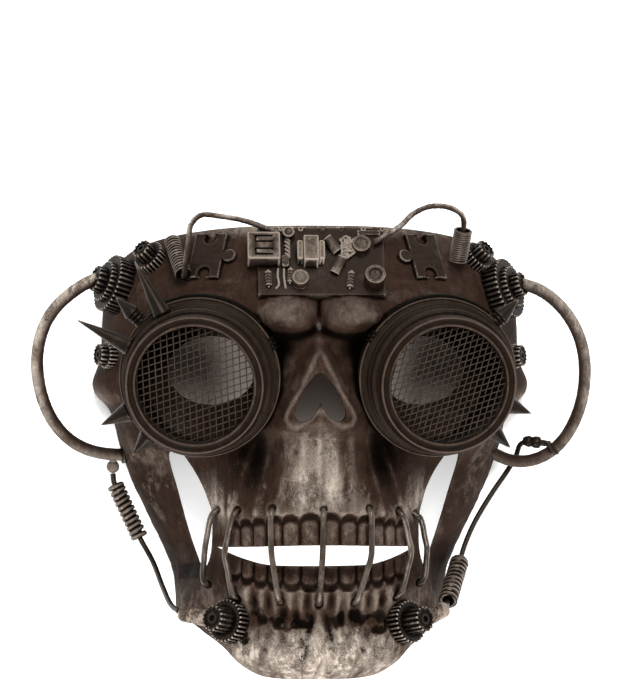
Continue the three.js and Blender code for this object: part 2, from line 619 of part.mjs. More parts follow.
// Circuit board: a plate fitted to the forehead, with its parts standing on it.
const BOARD = { x: 1.2, y: 86, wide: 55, tall: 33, thick: 2.2, deep: 9, lift: 1 };
const CONNECTOR = { x: -25, y: 3.6, wide: 14, tall: 13, high: 8 };
const SLOT = { side: 3, deep: 5, x: 3.1, y: 2.9 };
const TRANSFORMER = { x: -4.6, y: 2.6, wide: 6.4, tall: 12, high: 8 };
const BOBBIN = { wide: 12.8, tall: 9, high: 6 };
const ROUND_SIDES = 12;
const STUD_SIDES = 6;
const ROUNDS = [
  { name: "board_stud", x: -9.4, y: -10.2, radius: 3.6, high: 5 },
  { name: "board_capacitor", x: 22.6, y: -10.3, radius: 4.4, high: 8 },
  { name: "board_terminal_left", x: -14.1, y: 12, radius: 2.6, high: 4.5 },
  { name: "board_terminal_right", x: 17.4, y: 6.6, radius: 3.9, high: 4.5 },
];
const STUDS = [
  { x: 5.5, y: 7.5, radius: 2.1, high: 4 },
  { x: 8.4, y: -3, radius: 2.2, high: 4 },
  { x: 12.4, y: -11.5, radius: 1.8, high: 2.5 },
  { x: -23, y: -11, radius: 1.8, high: 2.5 },
];
const block = (wide, tall, high) => new THREE.BoxGeometry(wide, tall, high).translate(0, 0, high / 2);
const round = (radius, high, sides) => turned([[0, 0], [radius, 0], [radius, high], [0, high]], sides);

const boardFrame = new THREE.Group();
const boardSeat = skin(0, BOARD.y);
const boardPlace = boardSeat.point.clone().setX(BOARD.x).addScaledVector(boardSeat.normal, BOARD.lift);
group.add(aim(boardFrame, boardPlace, boardSeat.normal));
const onBoard = (mesh, x, y) => mesh.position.set(x, y, BOARD.thick + SEAT);
const boardPoint = (x, y, z) => new THREE.Vector3(x, y, z).applyMatrix4(boardFrame.matrix);

let plate = solid(block(BOARD.wide, BOARD.tall, BOARD.thick + BOARD.deep).translate(0, 0, -BOARD.deep));
for (const { x, y, radius, high } of STUDS) {
  const stud = round(radius, high + OVERLAP, STUD_SIDES).translate(x, y, BOARD.thick - OVERLAP);
  plate = plate.add(solid(stud));
}
add("board_plate", seated(geometryOf(plate), boardPlace, boardSeat.normal), MATERIALS.board);

const addOnBoard = (name, geometry, x, y) =>
  onBoard(add(name, geometry, MATERIALS.board, boardFrame), x, y);

const slot = solid(block(SLOT.side, SLOT.side, CONNECTOR.high));
const slotFloor = CONNECTOR.high - SLOT.deep;
let connector = solid(block(CONNECTOR.wide, CONNECTOR.tall, CONNECTOR.high));
for (const column of [-SLOT.x, SLOT.x])
  for (const row of [-SLOT.y, SLOT.y])
    connector = connector.subtract(slot.translate([column, row, slotFloor]));
addOnBoard("board_connector", geometryOf(connector), CONNECTOR.x, CONNECTOR.y);

const core = solid(block(TRANSFORMER.wide, TRANSFORMER.tall, TRANSFORMER.high));
const bobbin = solid(block(BOBBIN.wide, BOBBIN.tall, BOBBIN.high));
addOnBoard("board_transformer", geometryOf(core.add(bobbin)), TRANSFORMER.x, TRANSFORMER.y);
for (const { name, x, y, radius, high } of ROUNDS)
  addOnBoard(name, round(radius, high, ROUND_SIDES), x, y);

// Leads on the forehead, from inside each coil to the board's terminals.
const LEAD_STEPS = 12;
const LEADS = {
  coil_left: [
    [-57, 90, 72.5], [-56, 96, 71], [-55, 103, 66], [-50.5, 107.5, 62], [-42, 107, 62], [-31, 104.8, 64],
  ],
  coil_right: [
    [63, 107.5, 65], [57.5, 111, 65], [49, 111.5, 63.5], [42, 108.5, 63], [36, 103, 65], [30, 99, 68],
  ],
};
const LEAD_ENDS = { coil_left: [-18.4, 12.2, 5], coil_right: [23, 7.6, 5.2] };
for (const [coil, points] of Object.entries(LEADS)) {
  const path = [...threaded(coil).slice(2), ...route(points), boardPoint(...LEAD_ENDS[coil])];
  add(coil.replace("coil", "lead"), tube(path, WIRE_RADIUS, WIRE_SIDES, LEAD_STEPS), MATERIALS.wire);
}

// Jaw plugs bend away from the jaw gears' outer faces, and hold the leads that come from the cheeks.
const PLUG = { radius: 3.6, sides: 8, steps: 5, start: 4 };
const PLUGS = {
  jaw_left: [[-52.5, -68.5, 73], [-57, -67, 66], [-59.5, -65.5, 58]],
  jaw_right: [[51.5, -67.5, 74], [54.5, -65.5, 68], [56.5, -64, 60]],
};
const plugEnds = {};
for (const [gear, points] of Object.entries(PLUGS)) {
  const { point, normal } = gearFaces[gear];
  const path = [point, point.clone().addScaledVector(normal, PLUG.start), ...route(points)];
  const plug = clearOfBone(tube(path, PLUG.radius, PLUG.sides, PLUG.steps));
  add(gear.replace("jaw", "jaw_plug"), plug, MATERIALS.hose);
  plugEnds[gear] = path.at(-1);
}

// Jaw leads: from the cheek's bead or clip, through the spring, to the plug.
const BEAD = { place: [-90, -4, 10], radius: 2.9, sides: 8, rings: 5 };
const CLIP = { from: [105.6, 6.5, 13], to: [97.5, 7.4, 10.5], radius: 2.8, tip: 1.2 };
const CLIP_STRAIGHT = 3.4; // length of the clip before it narrows
const CLIP_SIDES = 8;
const JAW_LEADS = {
  left: {
    above: [[-90, -7.3, 10.6]],
    below: [[-72, -46, 20], [-67.5, -56, 34], [-63.5, -63, 49]],
    end: [-0.8, 0.6, -1.6],
  },
  right: {
    above: [[98, 2.8, 6.4], [92.5, -5, 4.6], [83.5, -17.5, 6], [75.5, -30, 9], [71, -39, 12]],
    below: [],
    end: [0.2, 0.5, -1.8],
  },
};
for (const [side, { above, below, end }] of Object.entries(JAW_LEADS)) {
  const [offset] = route([end]);
  const last = plugEnds[`jaw_${side}`].clone().add(offset);
  const path = [...route(above), ...threaded(`jaw_spring_${side}`), ...route(below), last];
  add(`jaw_lead_${side}`, tube(path, WIRE_RADIUS, WIRE_SIDES, LEAD_STEPS), MATERIALS.wire);
}
const beadBall = new THREE.SphereGeometry(BEAD.radius, BEAD.sides, BEAD.rings);
add("jaw_bead_left", beadBall, MATERIALS.spike).position.set(...BEAD.place);
const [clipFoot, clipTip] = route([CLIP.from, CLIP.to]);
const clipAlong = clipTip.clone().sub(clipFoot);
const clipFace = [[CLIP.tip, clipAlong.length()], [0, clipAlong.length()]];
const clipProfile = [[0, 0], [CLIP.radius, 0], [CLIP.radius, CLIP_STRAIGHT], ...clipFace];
const clip = add("jaw_clip_right", turned(clipProfile, CLIP_SIDES), MATERIALS.spike);
aim(clip, clipFoot, clipAlong);

// Jigsaw plates on the forehead: a knob on the inner side, sockets above and below.
const JIGSAW = { wide: 17, tall: 23, knob: 3.1, neck: 1.6, socket: 2.8, thick: 1.9, x: 47.5, y: 89.5 };
const SUNK = 7; // how far a plate runs down towards the bone before it is fitted to it
function jigsawPlate() {
  const { wide, tall, knob, neck, socket, thick } = JIGSAW;
  const [a, b] = [wide / 2, tall / 2];
  const opening = Math.asin(neck / knob);
  const quarter = Math.PI / 2;
  const shape = new THREE.Shape().moveTo(-a, -b).lineTo(-neck, -b);
  shape.absarc(0, -b + socket, socket, -quarter - opening, -quarter + opening, true);
  shape.lineTo(a, -b).lineTo(a, -neck);
  shape.absarc(a + knob, 0, knob, Math.PI + opening, 3 * Math.PI - opening, false);
  shape.lineTo(a, b).lineTo(neck, b);
  shape.absarc(0, b - socket, socket, quarter - opening, quarter + opening, true);
  shape.lineTo(-a, b);
  const depth = thick + SUNK;
  const geometry = new THREE.ExtrudeGeometry(shape, { depth, bevelEnabled: false, curveSegments: 3 });
  return geometry.translate(0, 0, -SUNK);
}
for (const side of [-1, 1]) {
  const { point, normal } = skin(side * JIGSAW.x, JIGSAW.y);
  const plate = jigsawPlate();
  if (side > 0) plate.rotateZ(Math.PI);
  add(`jigsaw_${sideName(side)}`, seated(plate, point, normal), MATERIALS.board);
}

// Mouth wires: from a hole in the upper jaw, over both rows of teeth, to a hole in the lower jaw.
const STITCH = { radius: 1.3, proud: 3.3, sunk: 1, sides: 5, steps: 6 };
const STITCH_BENDS = [0.22, 0.6]; // shares of the way from a hole to the middle of a wire
const MOUTH_WIRES = [
  { top: [-43.4, -20.5], middle: [-46, -38], bottom: [-47.5, -54] },
  { top: [-34.7, -20], middle: [-38, -39], bottom: [-35, -59] },
  { top: [-20, -18.7], middle: [-19.5, -38], bottom: [-16.6, -59.5] },
  { top: [1.3, -18.8], middle: [0.8, -39], bottom: [-0.4, -60.5] },
  { top: [21, -18.8], middle: [20.8, -39], bottom: [15, -60] },
  { top: [34.6, -20.5], middle: [38.4, -39], bottom: [33.6, -58.5] },
  { top: [43, -22.5], middle: [46.5, -39], bottom: [45, -53.5] },
];
for (const [i, { top, middle, bottom }] of MOUTH_WIRES.entries()) {
  const shoulders = (end) =>
    STITCH_BENDS.map((share) => end.map((at, axis) => THREE.MathUtils.lerp(at, middle[axis], share)));
  const over = [...shoulders(top), middle, ...shoulders(bottom).reverse()];
  const path = [
    skin(...top, -STITCH.sunk).point,
    ...over.map(([x, y]) => skin(x, y, STITCH.proud).point),
    skin(...bottom, -STITCH.sunk).point,
  ];
  const wire = clearOfBone(tube(path, STITCH.radius, STITCH.sides, STITCH.steps));
  add(`mouth_wire_${i + 1}`, wire, MATERIALS.wire);
}

export default group;
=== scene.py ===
import math
import random

import bpy
import numpy as np
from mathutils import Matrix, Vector
from mathutils.bvhtree import BVHTree
from mathutils.geometry import tessellate_polygon


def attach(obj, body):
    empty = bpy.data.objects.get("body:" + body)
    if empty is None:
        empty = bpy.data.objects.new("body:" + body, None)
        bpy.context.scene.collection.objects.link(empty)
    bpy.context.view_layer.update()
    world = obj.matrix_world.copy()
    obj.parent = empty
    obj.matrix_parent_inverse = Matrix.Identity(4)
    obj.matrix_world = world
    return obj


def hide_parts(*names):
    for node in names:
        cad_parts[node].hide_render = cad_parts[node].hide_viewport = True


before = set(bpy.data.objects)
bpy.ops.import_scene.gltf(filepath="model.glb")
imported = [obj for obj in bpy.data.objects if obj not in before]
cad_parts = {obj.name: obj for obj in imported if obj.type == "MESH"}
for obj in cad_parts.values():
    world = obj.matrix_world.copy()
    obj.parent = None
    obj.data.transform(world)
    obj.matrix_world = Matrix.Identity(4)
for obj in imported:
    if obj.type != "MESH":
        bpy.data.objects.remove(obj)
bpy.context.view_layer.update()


# Camera
# The mask lies face up on its rim. The camera looks straight down from about a metre, a little to the
# left of the middle, with the forehead at the top of the picture and room above it.
MM = 0.001
VIEW_TARGET = Vector((-0.3, 39.35, 80)) * MM
VIEW_DISTANCE = 1020 * MM
VIEW_LEAN = math.radians(3.5)
LENS = 122.7
SENSOR_WIDTH = 36
VIEW_END = 20
scene = bpy.context.scene


def linked(name, data):
    made = bpy.data.objects.new(name, data)
    scene.collection.objects.link(made)
    return made


camera_data = bpy.data.cameras.new("camera")
camera_data.lens = LENS
camera_data.sensor_fit = "AUTO"
camera_data.sensor_width = SENSOR_WIDTH
camera_data.clip_end = VIEW_END
camera = linked("camera", camera_data)
camera.location = VIEW_TARGET + VIEW_DISTANCE * Vector((-math.sin(VIEW_LEAN), 0, math.cos(VIEW_LEAN)))
camera.rotation_euler = (0, -VIEW_LEAN, 0)
scene.camera = camera


# Studio
# A plain white sweep under the mask, lit from below and by six soft boxes in an even pale room. A dark
# sheet lies on it inside the mask as painted shadow for the floor that shows through the eyes and the nose.
ROOM = {"Color": (1.0, 0.99, 0.97, 1), "Strength": 0.2}
PAPER = {"Roughness": 0.9, "Specular IOR Level": 0.1}
# Sheets of paper: half width, half height, middle, level, tint, glow
SHEETS = {
    "floor": (3.0, 3.0, 0, 0, (0.93, 0.93, 0.93, 1), 0.35),
    # The shade sheet is painted shadow: it darkens the floor under the mask.
    "shade": (0.08, 0.04, 0.04, 0.0002, (0.37, 0.32, 0.29, 1), 0),
}
# Soft boxes: place, side, power
SOFT_BOXES = {
    "soft_box_top": ((0.1, 0.95, 1.15), 0.6, 15.0),
    "soft_box_over": ((0.0, 0.52, 1.35), 0.4, 15.0),
    "soft_box_left": ((-1.15, 0.15, 0.7), 0.6, 3.0),
    "soft_box_right": ((1.15, 0.0, 0.7), 0.6, 3.0),
    "soft_box_chin_left": ((-0.44, -0.95, 0.64), 0.25, 13.5),
    "soft_box_chin_right": ((0.36, -0.99, 0.64), 0.25, 13.5),
}
LIT_PLACE = Vector((0, 0.02, 0.03))
SQUARE = [(-1, -1), (1, -1), (1, 1), (-1, 1)]


def feed(tree, node, inputs):
    for name, value in inputs.items():
        if isinstance(value, bpy.types.NodeSocket):
            tree.links.new(value, node.inputs[name])
        else:
            node.inputs[name].default_value = value
    return node.outputs


def new_material(name):
    material = bpy.data.materials.new(name)
    material.use_nodes = True
    return material, material.node_tree, material.node_tree.nodes["Principled BSDF"]


scene.view_settings.view_transform = "Standard"
scene.view_settings.look = "None"
for name, (half_wide, half_tall, middle, level, colour, glow) in SHEETS.items():
    sheet_mesh = bpy.data.meshes.new(name)
    corners = [(half_wide * a, middle + half_tall * b, level) for a, b in SQUARE]
    sheet_mesh.from_pydata(corners, [], [(0, 1, 2, 3)])
    paper, paper_tree, paper_shader = new_material(f"{name}_paper")
    sheet_look = {"Base Color": colour, "Emission Color": colour, "Emission Strength": glow}
    feed(paper_tree, paper_shader, PAPER | sheet_look)
    sheet_mesh.materials.append(paper)
    linked(name, sheet_mesh)
room = bpy.data.worlds.new("room")
room.use_nodes = True
feed(room.node_tree, room.node_tree.nodes["Background"], ROOM)
scene.world = room
for name, (place, side, power) in SOFT_BOXES.items():
    light = bpy.data.lights.new(name, "AREA")
    light.shape = "SQUARE"
    light.size = side
    light.energy = power
    soft_box = linked(name, light)
    soft_box.location = place
    soft_box.rotation_euler = (LIT_PLACE - soft_box.location).to_track_quat("-Z", "Y").to_euler()


# Skull shell
# One thin plastic moulding of a skull's front: brow, nose, cheeks, teeth and jaw, open at the back.
# It is painted dark brown, and a pale bone colour is rubbed over what stands up, most on the chin.
FACE_MIDDLE = np.array([0.3, 9.65, 0])
WALL = 2.2
# Half widths and depths of cranium and face in sections from the chin up
SECTION_Y = [-102, -94, -85, -76, -64, -50, -36, -12, 5, 20, 34, 46, 60, 72, 86, 95, 104, 112]
CRANIUM_WIDE = [46, 50, 54, 57, 59, 63.5, 69.5, 81, 87, 91, 98, 96, 95.5, 94, 89, 82, 74, 66]
CRANIUM_DEEP = [26, 28, 30, 32, 35, 39, 43, 49, 54, 59, 64, 69, 74, 72, 66, 61, 54, 47]
FACE_WIDE = [44, 50, 57, 60, 60.5, 58, 55, 57, 57, 54, 51, 50, 50, 50, 48, 46, 44, 40]
FACE_DEEP = [56, 68, 78, 77.5, 75.5, 79, 81, 80.5, 79.5, 78, 75, 71, 64, 61, 56, 50, 42, 36]
CRANIUM_POWER = 2.3
FACE_POWER = 2.2
LOBE_BLEND = 7
# Bulges and dents, mirrored on both sides: across, up, half width, half height, lift
RELIEF = {
    "brow": (17, 62, 13, 7, 6.5),
    "brow_end": (48, 72, 22, 6, 3),
    "brow_cleft": (0, 60, 3.5, 9, -3.5),
    "inner_eye_corner": (24, 44, 8, 10, -8),
    "eye_socket": (50, 37, 20, 17, -6),
    "temple": (84, 58, 9, 14, -2),
    "cheek_bone": (62, 8, 14, 7, 4),
    "canine_hollow": (29, 6, 9, 13, -6.5),
    "gum_ridge": (0, -20, 40, 6, 1.5),
    "jaw_hollow": (12, -66, 22, 4.5, -2),
    "chin_knob": (15, -83, 12, 7, 3.5),
    "chin_cleft": (0, -86, 3, 8, -1.5),
}
NOSE = {"tip": 49, "foot": 16, "half_width": 14.3, "taper": 0.8, "lift": 8.5, "skirt": 4, "widest": 22.3}
TOP_RIM = {"middle": 103.6, "fall": 15.6, "power": 1.76}
LOWER_RIM_TURN = [0, 20, 26, 34, 44, 60, 90]
LOWER_RIM_Y = [-93.5, -92.6, -89, -80.5, -75.5, -71, -69]
SEARCH_STEPS = 40


def smooth_through(places, values, at):
    places = np.asarray(places, float)
    values = np.asarray(values, float)
    last = len(places) - 1
    after = np.minimum(np.arange(last + 1) + 1, last)
    before = np.maximum(np.arange(last + 1) - 1, 0)
    slopes = (values[after] - values[before]) / (places[after] - places[before])
    i = np.clip(np.searchsorted(places, at, side="right") - 1, 0, last - 1)
    span = places[i + 1] - places[i]
    t = np.clip((at - places[i]) / span, 0, 1)
    ends = values[i] * (1 - t) ** 2 * (1 + 2 * t) + values[i + 1] * t**2 * (3 - 2 * t)
    return ends + span * t * (1 - t) * (slopes[i] * (1 - t) - slopes[i + 1] * t)


def smooth_step(start, end, at):
    t = np.clip((at - start) / (end - start), 0, 1)
    return t * t * (3 - 2 * t)


def bell(distance):
    return np.exp(-(distance**2))


def hump(x, y, row):
    across, up, wide, tall, lift = row
    return lift * bell((np.abs(x) - across) / wide) * bell((y - up) / tall)


def unit(vectors):
    vectors = np.asarray(vectors, float)
    return vectors / np.linalg.norm(vectors, axis=-1, keepdims=True)


def nose_lift(x, y):
    above_foot = np.maximum((NOSE["tip"] - y) / (NOSE["tip"] - NOSE["widest"]), 0)
    rim = np.minimum(NOSE["half_width"] * above_foot ** NOSE["taper"], NOSE["half_width"]) + NOSE["skirt"]
    begun = smooth_step(NOSE["foot"] - 7, NOSE["foot"] + 2, y)
    ended = smooth_step(NOSE["tip"] - 3, NOSE["tip"] + 6, y)
    return NOSE["lift"] * begun * (1 - ended) * np.exp(-((x / rim) ** 4))


def relief_lift(x, y):
    return nose_lift(x, y) + sum(hump(x, y, row) for row in RELIEF.values())


def lobe_radius(turn, wide, deep, power):
    across = np.abs(np.sin(turn) / wide) ** power
    ahead = np.abs(np.cos(turn) / deep) ** power
    return (across + ahead) ** (-1 / power)


def plain_radius(turn, y):
    columns = (CRANIUM_WIDE, CRANIUM_DEEP, FACE_WIDE, FACE_DEEP)
    sizes = [smooth_through(SECTION_Y, column, y) for column in columns]
    cranium = lobe_radius(turn, *sizes[:2], CRANIUM_POWER)
    face = lobe_radius(turn, *sizes[2:], FACE_POWER)
    near = np.maximum(LOBE_BLEND - np.abs(cranium - face), 0) / LOBE_BLEND
    return np.maximum(cranium, face) + near * near * LOBE_BLEND / 4


def bone_radius(turn, y):
    radius = plain_radius(turn, y)
    return radius + relief_lift(radius * np.sin(turn), y)


def bone_point(turn, y):
    radius = bone_radius(turn, y)
    return np.array([radius * math.sin(turn), y, radius * math.cos(turn)])


def skin(x, y, grow=0.0):
    low, high = 0.0, math.pi / 2
    for _ in range(SEARCH_STEPS):
        middle = (low + high) / 2
        if bone_radius(middle, y) * math.sin(middle) < abs(x):
            low = middle
        else:
            high = middle
    turn = math.copysign(low, x)
    across = bone_point(turn + 0.02, y) - bone_point(turn - 0.02, y)
    up = bone_point(turn, y + 1) - bone_point(turn, y - 1)
    normal = unit(np.cross(across, up))
    return bone_point(turn, y) + grow * normal, normal


def top_rim(turn):
    return TOP_RIM["middle"] - TOP_RIM["fall"] * (1 - np.cos(turn)) ** TOP_RIM["power"]


def lower_rim(turn):
    return smooth_through(LOWER_RIM_TURN, LOWER_RIM_Y, np.degrees(np.abs(turn)))


# Openings in the front view: an ellipse, bends through start, control and end, and corners to round
EYE_HOLE = {"x": 46, "y": 40, "half_wide": 19, "half_tall": 15, "sides": 56}
MOUTH_BENDS = [((20, -43.5), (29, -43), (44, -37.2), 10), ((44, -37.2), (20, -34.5), (0, -34.5), 14)]
NOSE_BENDS = [
    ((0, 26.6), (2.8, 18.4), (7, 18.4), 8), ((7, 18.4), (11, 18.4), (11, 22.3), 8),
    ((11, 22.3), (6.6, 36.5), (0, 39.5), 12),
]
CHEEK_CORNERS = [
    (60, 4), (64.5, 2.5), (60.3, -14), (56, -30), (52, -42), (49, -47.5),
    (46, -40), (45.5, -25), (47, -18), (51, -8.5), (56.5, 0.5),
]
CHEEK_STEPS = 5


def bent(bends):
    points = []
    for *ends, count in bends:
        start, control, end = (np.asarray(p, float) for p in ends)
        t = np.linspace(0, 1, count + 1)[1:, None]
        points += list((1 - t) ** 2 * start + 2 * t * (1 - t) * control + t**2 * end)
    return points


def mirrored(points):
    return [(-p[0], p[1]) for p in reversed(points)]


def rounded_loop(corners, per_side):
    points = np.asarray(corners, float)
    count = len(points)
    loop = []
    for i in range(count):
        p0, p1, p2, p3 = (points[(i + k) % count] for k in (-1, 0, 1, 2))
        for t in np.arange(per_side) / per_side:
            even = 2 * p1 + (p2 - p0) * t
            curve = (2 * p0 - 5 * p1 + 4 * p2 - p3) * t**2 + (3 * p1 - p0 - 3 * p2 + p3) * t**3
            loop.append((even + curve) / 2)
    return loop


def outline_distance(x, y, outline):
    points = np.asarray(outline, float)
    nearest = np.full(np.shape(x), 1e9)
    for start, end in zip(points, np.roll(points, -1, axis=0)):
        along = end - start
        t = np.clip(((x - start[0]) * along[0] + (y - start[1]) * along[1]) / along.dot(along), 0, 1)
        gap = np.hypot(x - start[0] - t * along[0], y - start[1] - t * along[1])
        nearest = np.minimum(nearest, gap)
    return nearest


right_eye = [
    (EYE_HOLE["x"] + EYE_HOLE["half_wide"] * math.cos(a), EYE_HOLE["y"] + EYE_HOLE["half_tall"] * math.sin(a))
    for a in np.linspace(0, 2 * np.pi, EYE_HOLE["sides"], endpoint=False)
]
mouth_right = [MOUTH_BENDS[0][0], *bent(MOUTH_BENDS)]
mouth_outline = mouth_right + mirrored(mouth_right[:-1])
nose_right = bent(NOSE_BENDS)
nose_outline = [*nose_right, *mirrored(nose_right[:-1]), NOSE_BENDS[0][0]]
right_cheek_gap = rounded_loop(CHEEK_CORNERS, CHEEK_STEPS)
openings = [right_eye, mirrored(right_eye), mouth_outline, nose_outline]
openings += [right_cheek_gap, mirrored(right_cheek_gap)]

# The shell as a grid of columns round the upright axis, closer together at the front
ACROSS = 300
TALL = 236
CROWD = 0.8


def shell_grid(across, tall, reach, margin):
    spread = np.linspace(-1, 1, across + 1)
    turn = np.repeat((reach * (CROWD * spread + (1 - CROWD) * spread**3))[:, None], tall + 1, axis=1)
    low = lower_rim(turn) - margin
    y = low + np.linspace(0, 1, tall + 1)[None, :] * (top_rim(turn) + margin - low)
    plain = plain_radius(turn, y)
    return turn, y, plain, plain * np.sin(turn)


grid_turn, grid_y, grid_plain, grid_x = shell_grid(ACROSS, TALL, math.pi / 2, 0)
steps = np.hypot(np.diff(grid_x, axis=0), np.diff(grid_plain * np.cos(grid_turn), axis=0))
walked = np.vstack([np.zeros((1, TALL + 1)), np.cumsum(steps, axis=0)])
grid_along = walked - walked[ACROSS // 2]

# Teeth: widths from the middle out, the height of each one's gum, and how they stand in the jaw
UPPER_TEETH = {
    "widths": [8.6, 7.8, 7.2, 7, 7, 7.5], "gums": [-23.2, -24, -24.3, -25.6, -26.4, -27],
    "down": -1, "recess": 0.9, "proud": 0.5,
}
LOWER_TEETH = {
    "widths": [8.2, 7.8, 7, 6.6, 6.4, 6.4], "gums": [-52.2, -52, -51.6, -51, -50, -49],
    "down": 1, "recess": 0.7, "proud": 0.4,
}
TOOTH = {"arch": 0.6, "corner": 2.2, "collar": 2.5, "round": 0.35, "gum_step": 0.7, "gum_fade": 6}
JAWS_MEET = -40.5
# Bone ridges over the tooth roots: across at the gum, half width, lift
ROOT_RIDGES = [(0.3, 1.2, 0.75), (8.6, 1.9, 0.5), (17.5, 2.1, 0.55), (28.5, 2.2, 0.6), (41, 2.4, 0.55)]
ROOT_LEAN = 0.007
# Pits and ribs in the lower jaw, folds and creases of the brow: across, up, half width, half height, lift
JAW_PITS = [
    (15.8, -64, 2.6, 3.4, -1.2), (10.2, -65.5, 1.9, 2.6, -1.1), (29, -59.5, 1.7, 3.4, -1.1),
    (22.3, -59.5, 1.3, 3.2, -0.8), (5.2, -58, 1.5, 4, -0.7), (12.8, -59.8, 1.1, 4, 0.9),
    (19, -60, 1.2, 4.5, 1.0), (25.6, -58.5, 1.1, 4.2, 0.9), (33, -57.5, 1.4, 4, 0.8),
    (8, -60, 1.1, 4.5, 0.9), (2.4, -60, 0.9, 4.5, 0.7),
]
BROW_FOLDS = [
    (40, 78.6, 9, 1.6, 0.7), (43, 75.6, 9, 1.2, -0.8), (46, 73, 8, 1.6, 0.5),
    (0, 59.5, 1.5, 2.4, 1.2), (0, 67, 1.1, 5, -0.8), (0, 53, 2.2, 5, 0.9),
]
BROW_LOBE = {"x": 13, "y": 65, "wide": 13.5, "tall": 8.6, "lift": 4.6}
NOSE_CREST = [
    (0, 23.6), (2.4, 21.6), (5.7, 17.8), (9, 16.7), (12.1, 17.3), (13.4, 19.4),
    (13, 21.5), (11, 26), (7.8, 32), (4.4, 39.5), (1.6, 46), (0, 48.6),
]
CREST = {"lift": 1.5, "half_wide": 1.35, "moat": 1.0, "moat_at": 0.6, "moat_half": 1.6}
CHIN_RIDGE = {"lift": 2.0, "half_wide": 1.4, "spread": 0.16, "from": -62}
EAR_LUG = {"turn": 80, "y": 29, "wide": 9, "above": 9, "below": 4.5, "lift": 3.2}
# Mouth wires: top, middle and bottom of each wire in the front view, and the burr round its holes
MOUTH_WIRES = [
    ((-43.4, -20.5), (-46, -38), (-47.5, -54)),
    ((-34.7, -20), (-38, -39), (-35, -59)),
    ((-20, -18.7), (-19.5, -38), (-16.6, -59.5)),
    ((1.3, -18.8), (0.8, -39), (-0.4, -60.5)),
    ((21, -18.8), (20.8, -39), (15, -60)),
    ((34.6, -20.5), (38.4, -39), (33.6, -58.5)),
    ((43, -22.5), (46.5, -39), (45, -53.5)),
]
WIRE_HOLE = {"burr": 0.35, "burr_at": 2.2, "burr_half": 0.8, "deep": 1.2, "half_wide": 1.5}
GRAIN = {"lumps": 0.16, "grit": 0.07, "rough_grit": 0.22}
DEEPEST = -1.5


def between(low, high):
    return smooth_step(*low, grid_y) * (1 - smooth_step(*high, grid_y))


def patch(across, up, wide, tall, amount=1.0):
    return hump(grid_x, grid_y, (across, up, wide, tall, amount))


def tooth_row(row):
    down = row["down"]
    lift = np.zeros_like(grid_y)
    edge = 0.0
    for width, gum in zip(row["widths"], row["gums"]):
        u = (np.abs(grid_along) - edge - width / 2) / (width / 2)
        arch = gum + down * (TOOTH["arch"] * u**2 + TOOTH["corner"] * u**4)
        inside = smooth_step(-0.4, 1.3, down * (grid_y - arch))
        side = smooth_step(0, 0.8, (1 - np.abs(u)) * width / 2)
        collar = arch - down * TOOTH["collar"]
        jaw = smooth_step(-0.7, 0.7, down * (collar - grid_y))
        crown = (row["recess"] + row["proud"]) * inside * side * (1 - TOOTH["round"] * u**2) - row["recess"]
        step = TOOTH["gum_step"] * np.exp(-np.abs(grid_y - collar) / TOOTH["gum_fade"])
        lift = np.where(np.abs(u) <= 1, jaw * step + (1 - jaw) * crown, lift)
        edge += width
    return lift


def grid_noise(across, tall, seed):
    knots = np.random.default_rng(seed).standard_normal((across + 4, tall + 4))

    def spread(field, count, cells):
        at = np.linspace(1, cells + 1, count)
        i = at.astype(int)
        t = (at - i)[:, None]
        shares = ((1 - t) ** 3, 3 * t**3 - 6 * t**2 + 4, -3 * t**3 + 3 * t**2 + 3 * t + 1, t**3)
        return sum(share * field[i + k - 1] for k, share in enumerate(shares)) / 6

    return spread(spread(knots, ACROSS + 1, across).T, TALL + 1, tall).T


def blurred(field, passes):
    for _ in range(passes):
        wide = np.pad(field, 1, mode="edge")
        beside = wide[:-2, 1:-1] + wide[2:, 1:-1] + wide[1:-1, :-2] + wide[1:-1, 2:]
        field = (beside + 2 * field) / 6
    return field


upper_zone = between((-45, -43), (-16, -10)) * (np.abs(grid_along) < 45)
lower_zone = between((-62, -57), (-43, -41)) * (np.abs(grid_along) < 42)
root_window = between((-25, -20), (4, 17))
chin_window = between((-90, -80), (-68, -60))
teeth = upper_zone * (grid_y > JAWS_MEET) * tooth_row(UPPER_TEETH)
teeth += lower_zone * (grid_y < JAWS_MEET) * tooth_row(LOWER_TEETH)
fine = teeth.copy()
for across, wide, lift in ROOT_RIDGES:
    lean = across * (1 - ROOT_LEAN * (grid_y + 20))
    fine += lift * root_window * bell((np.abs(grid_along) - lean) / wide)
fine += sum(hump(grid_along, grid_y, row) for row in JAW_PITS)
fine += sum(patch(*row) for row in BROW_FOLDS)
chin_half = CHIN_RIDGE["half_wide"] + CHIN_RIDGE["spread"] * np.maximum(CHIN_RIDGE["from"] - grid_y, 0)
fine += CHIN_RIDGE["lift"] * chin_window * bell(grid_x / chin_half)
nose_gap = outline_distance(grid_x, grid_y, nose_outline)
crest_gap = outline_distance(grid_x, grid_y, NOSE_CREST + mirrored(NOSE_CREST[1:-1]))
fine += CREST["lift"] * bell(crest_gap / CREST["half_wide"])
fine -= CREST["moat"] * bell((nose_gap - CREST["moat_at"]) / CREST["moat_half"])
for wire in MOUTH_WIRES:
    for hole_x, hole_y in (wire[0], wire[2]):
        gap = np.hypot(grid_x - hole_x, grid_y - hole_y)
        fine += WIRE_HOLE["burr"] * bell((gap - WIRE_HOLE["burr_at"]) / WIRE_HOLE["burr_half"])
        fine -= WIRE_HOLE["deep"] * bell(gap / WIRE_HOLE["half_wide"])
ear_turn = (np.degrees(np.abs(grid_turn)) - EAR_LUG["turn"]) / EAR_LUG["wide"]
ear_rise = grid_y - EAR_LUG["y"]
ear_tall = np.where(ear_rise > 0, EAR_LUG["above"], EAR_LUG["below"])
fine += EAR_LUG["lift"] * bell(ear_turn) * bell(ear_rise / ear_tall)
grit = grid_noise(110, 90, 5)
rough_zone = patch(0, -72, 60, 16) + patch(70, -20, 14, 40, 0.6)
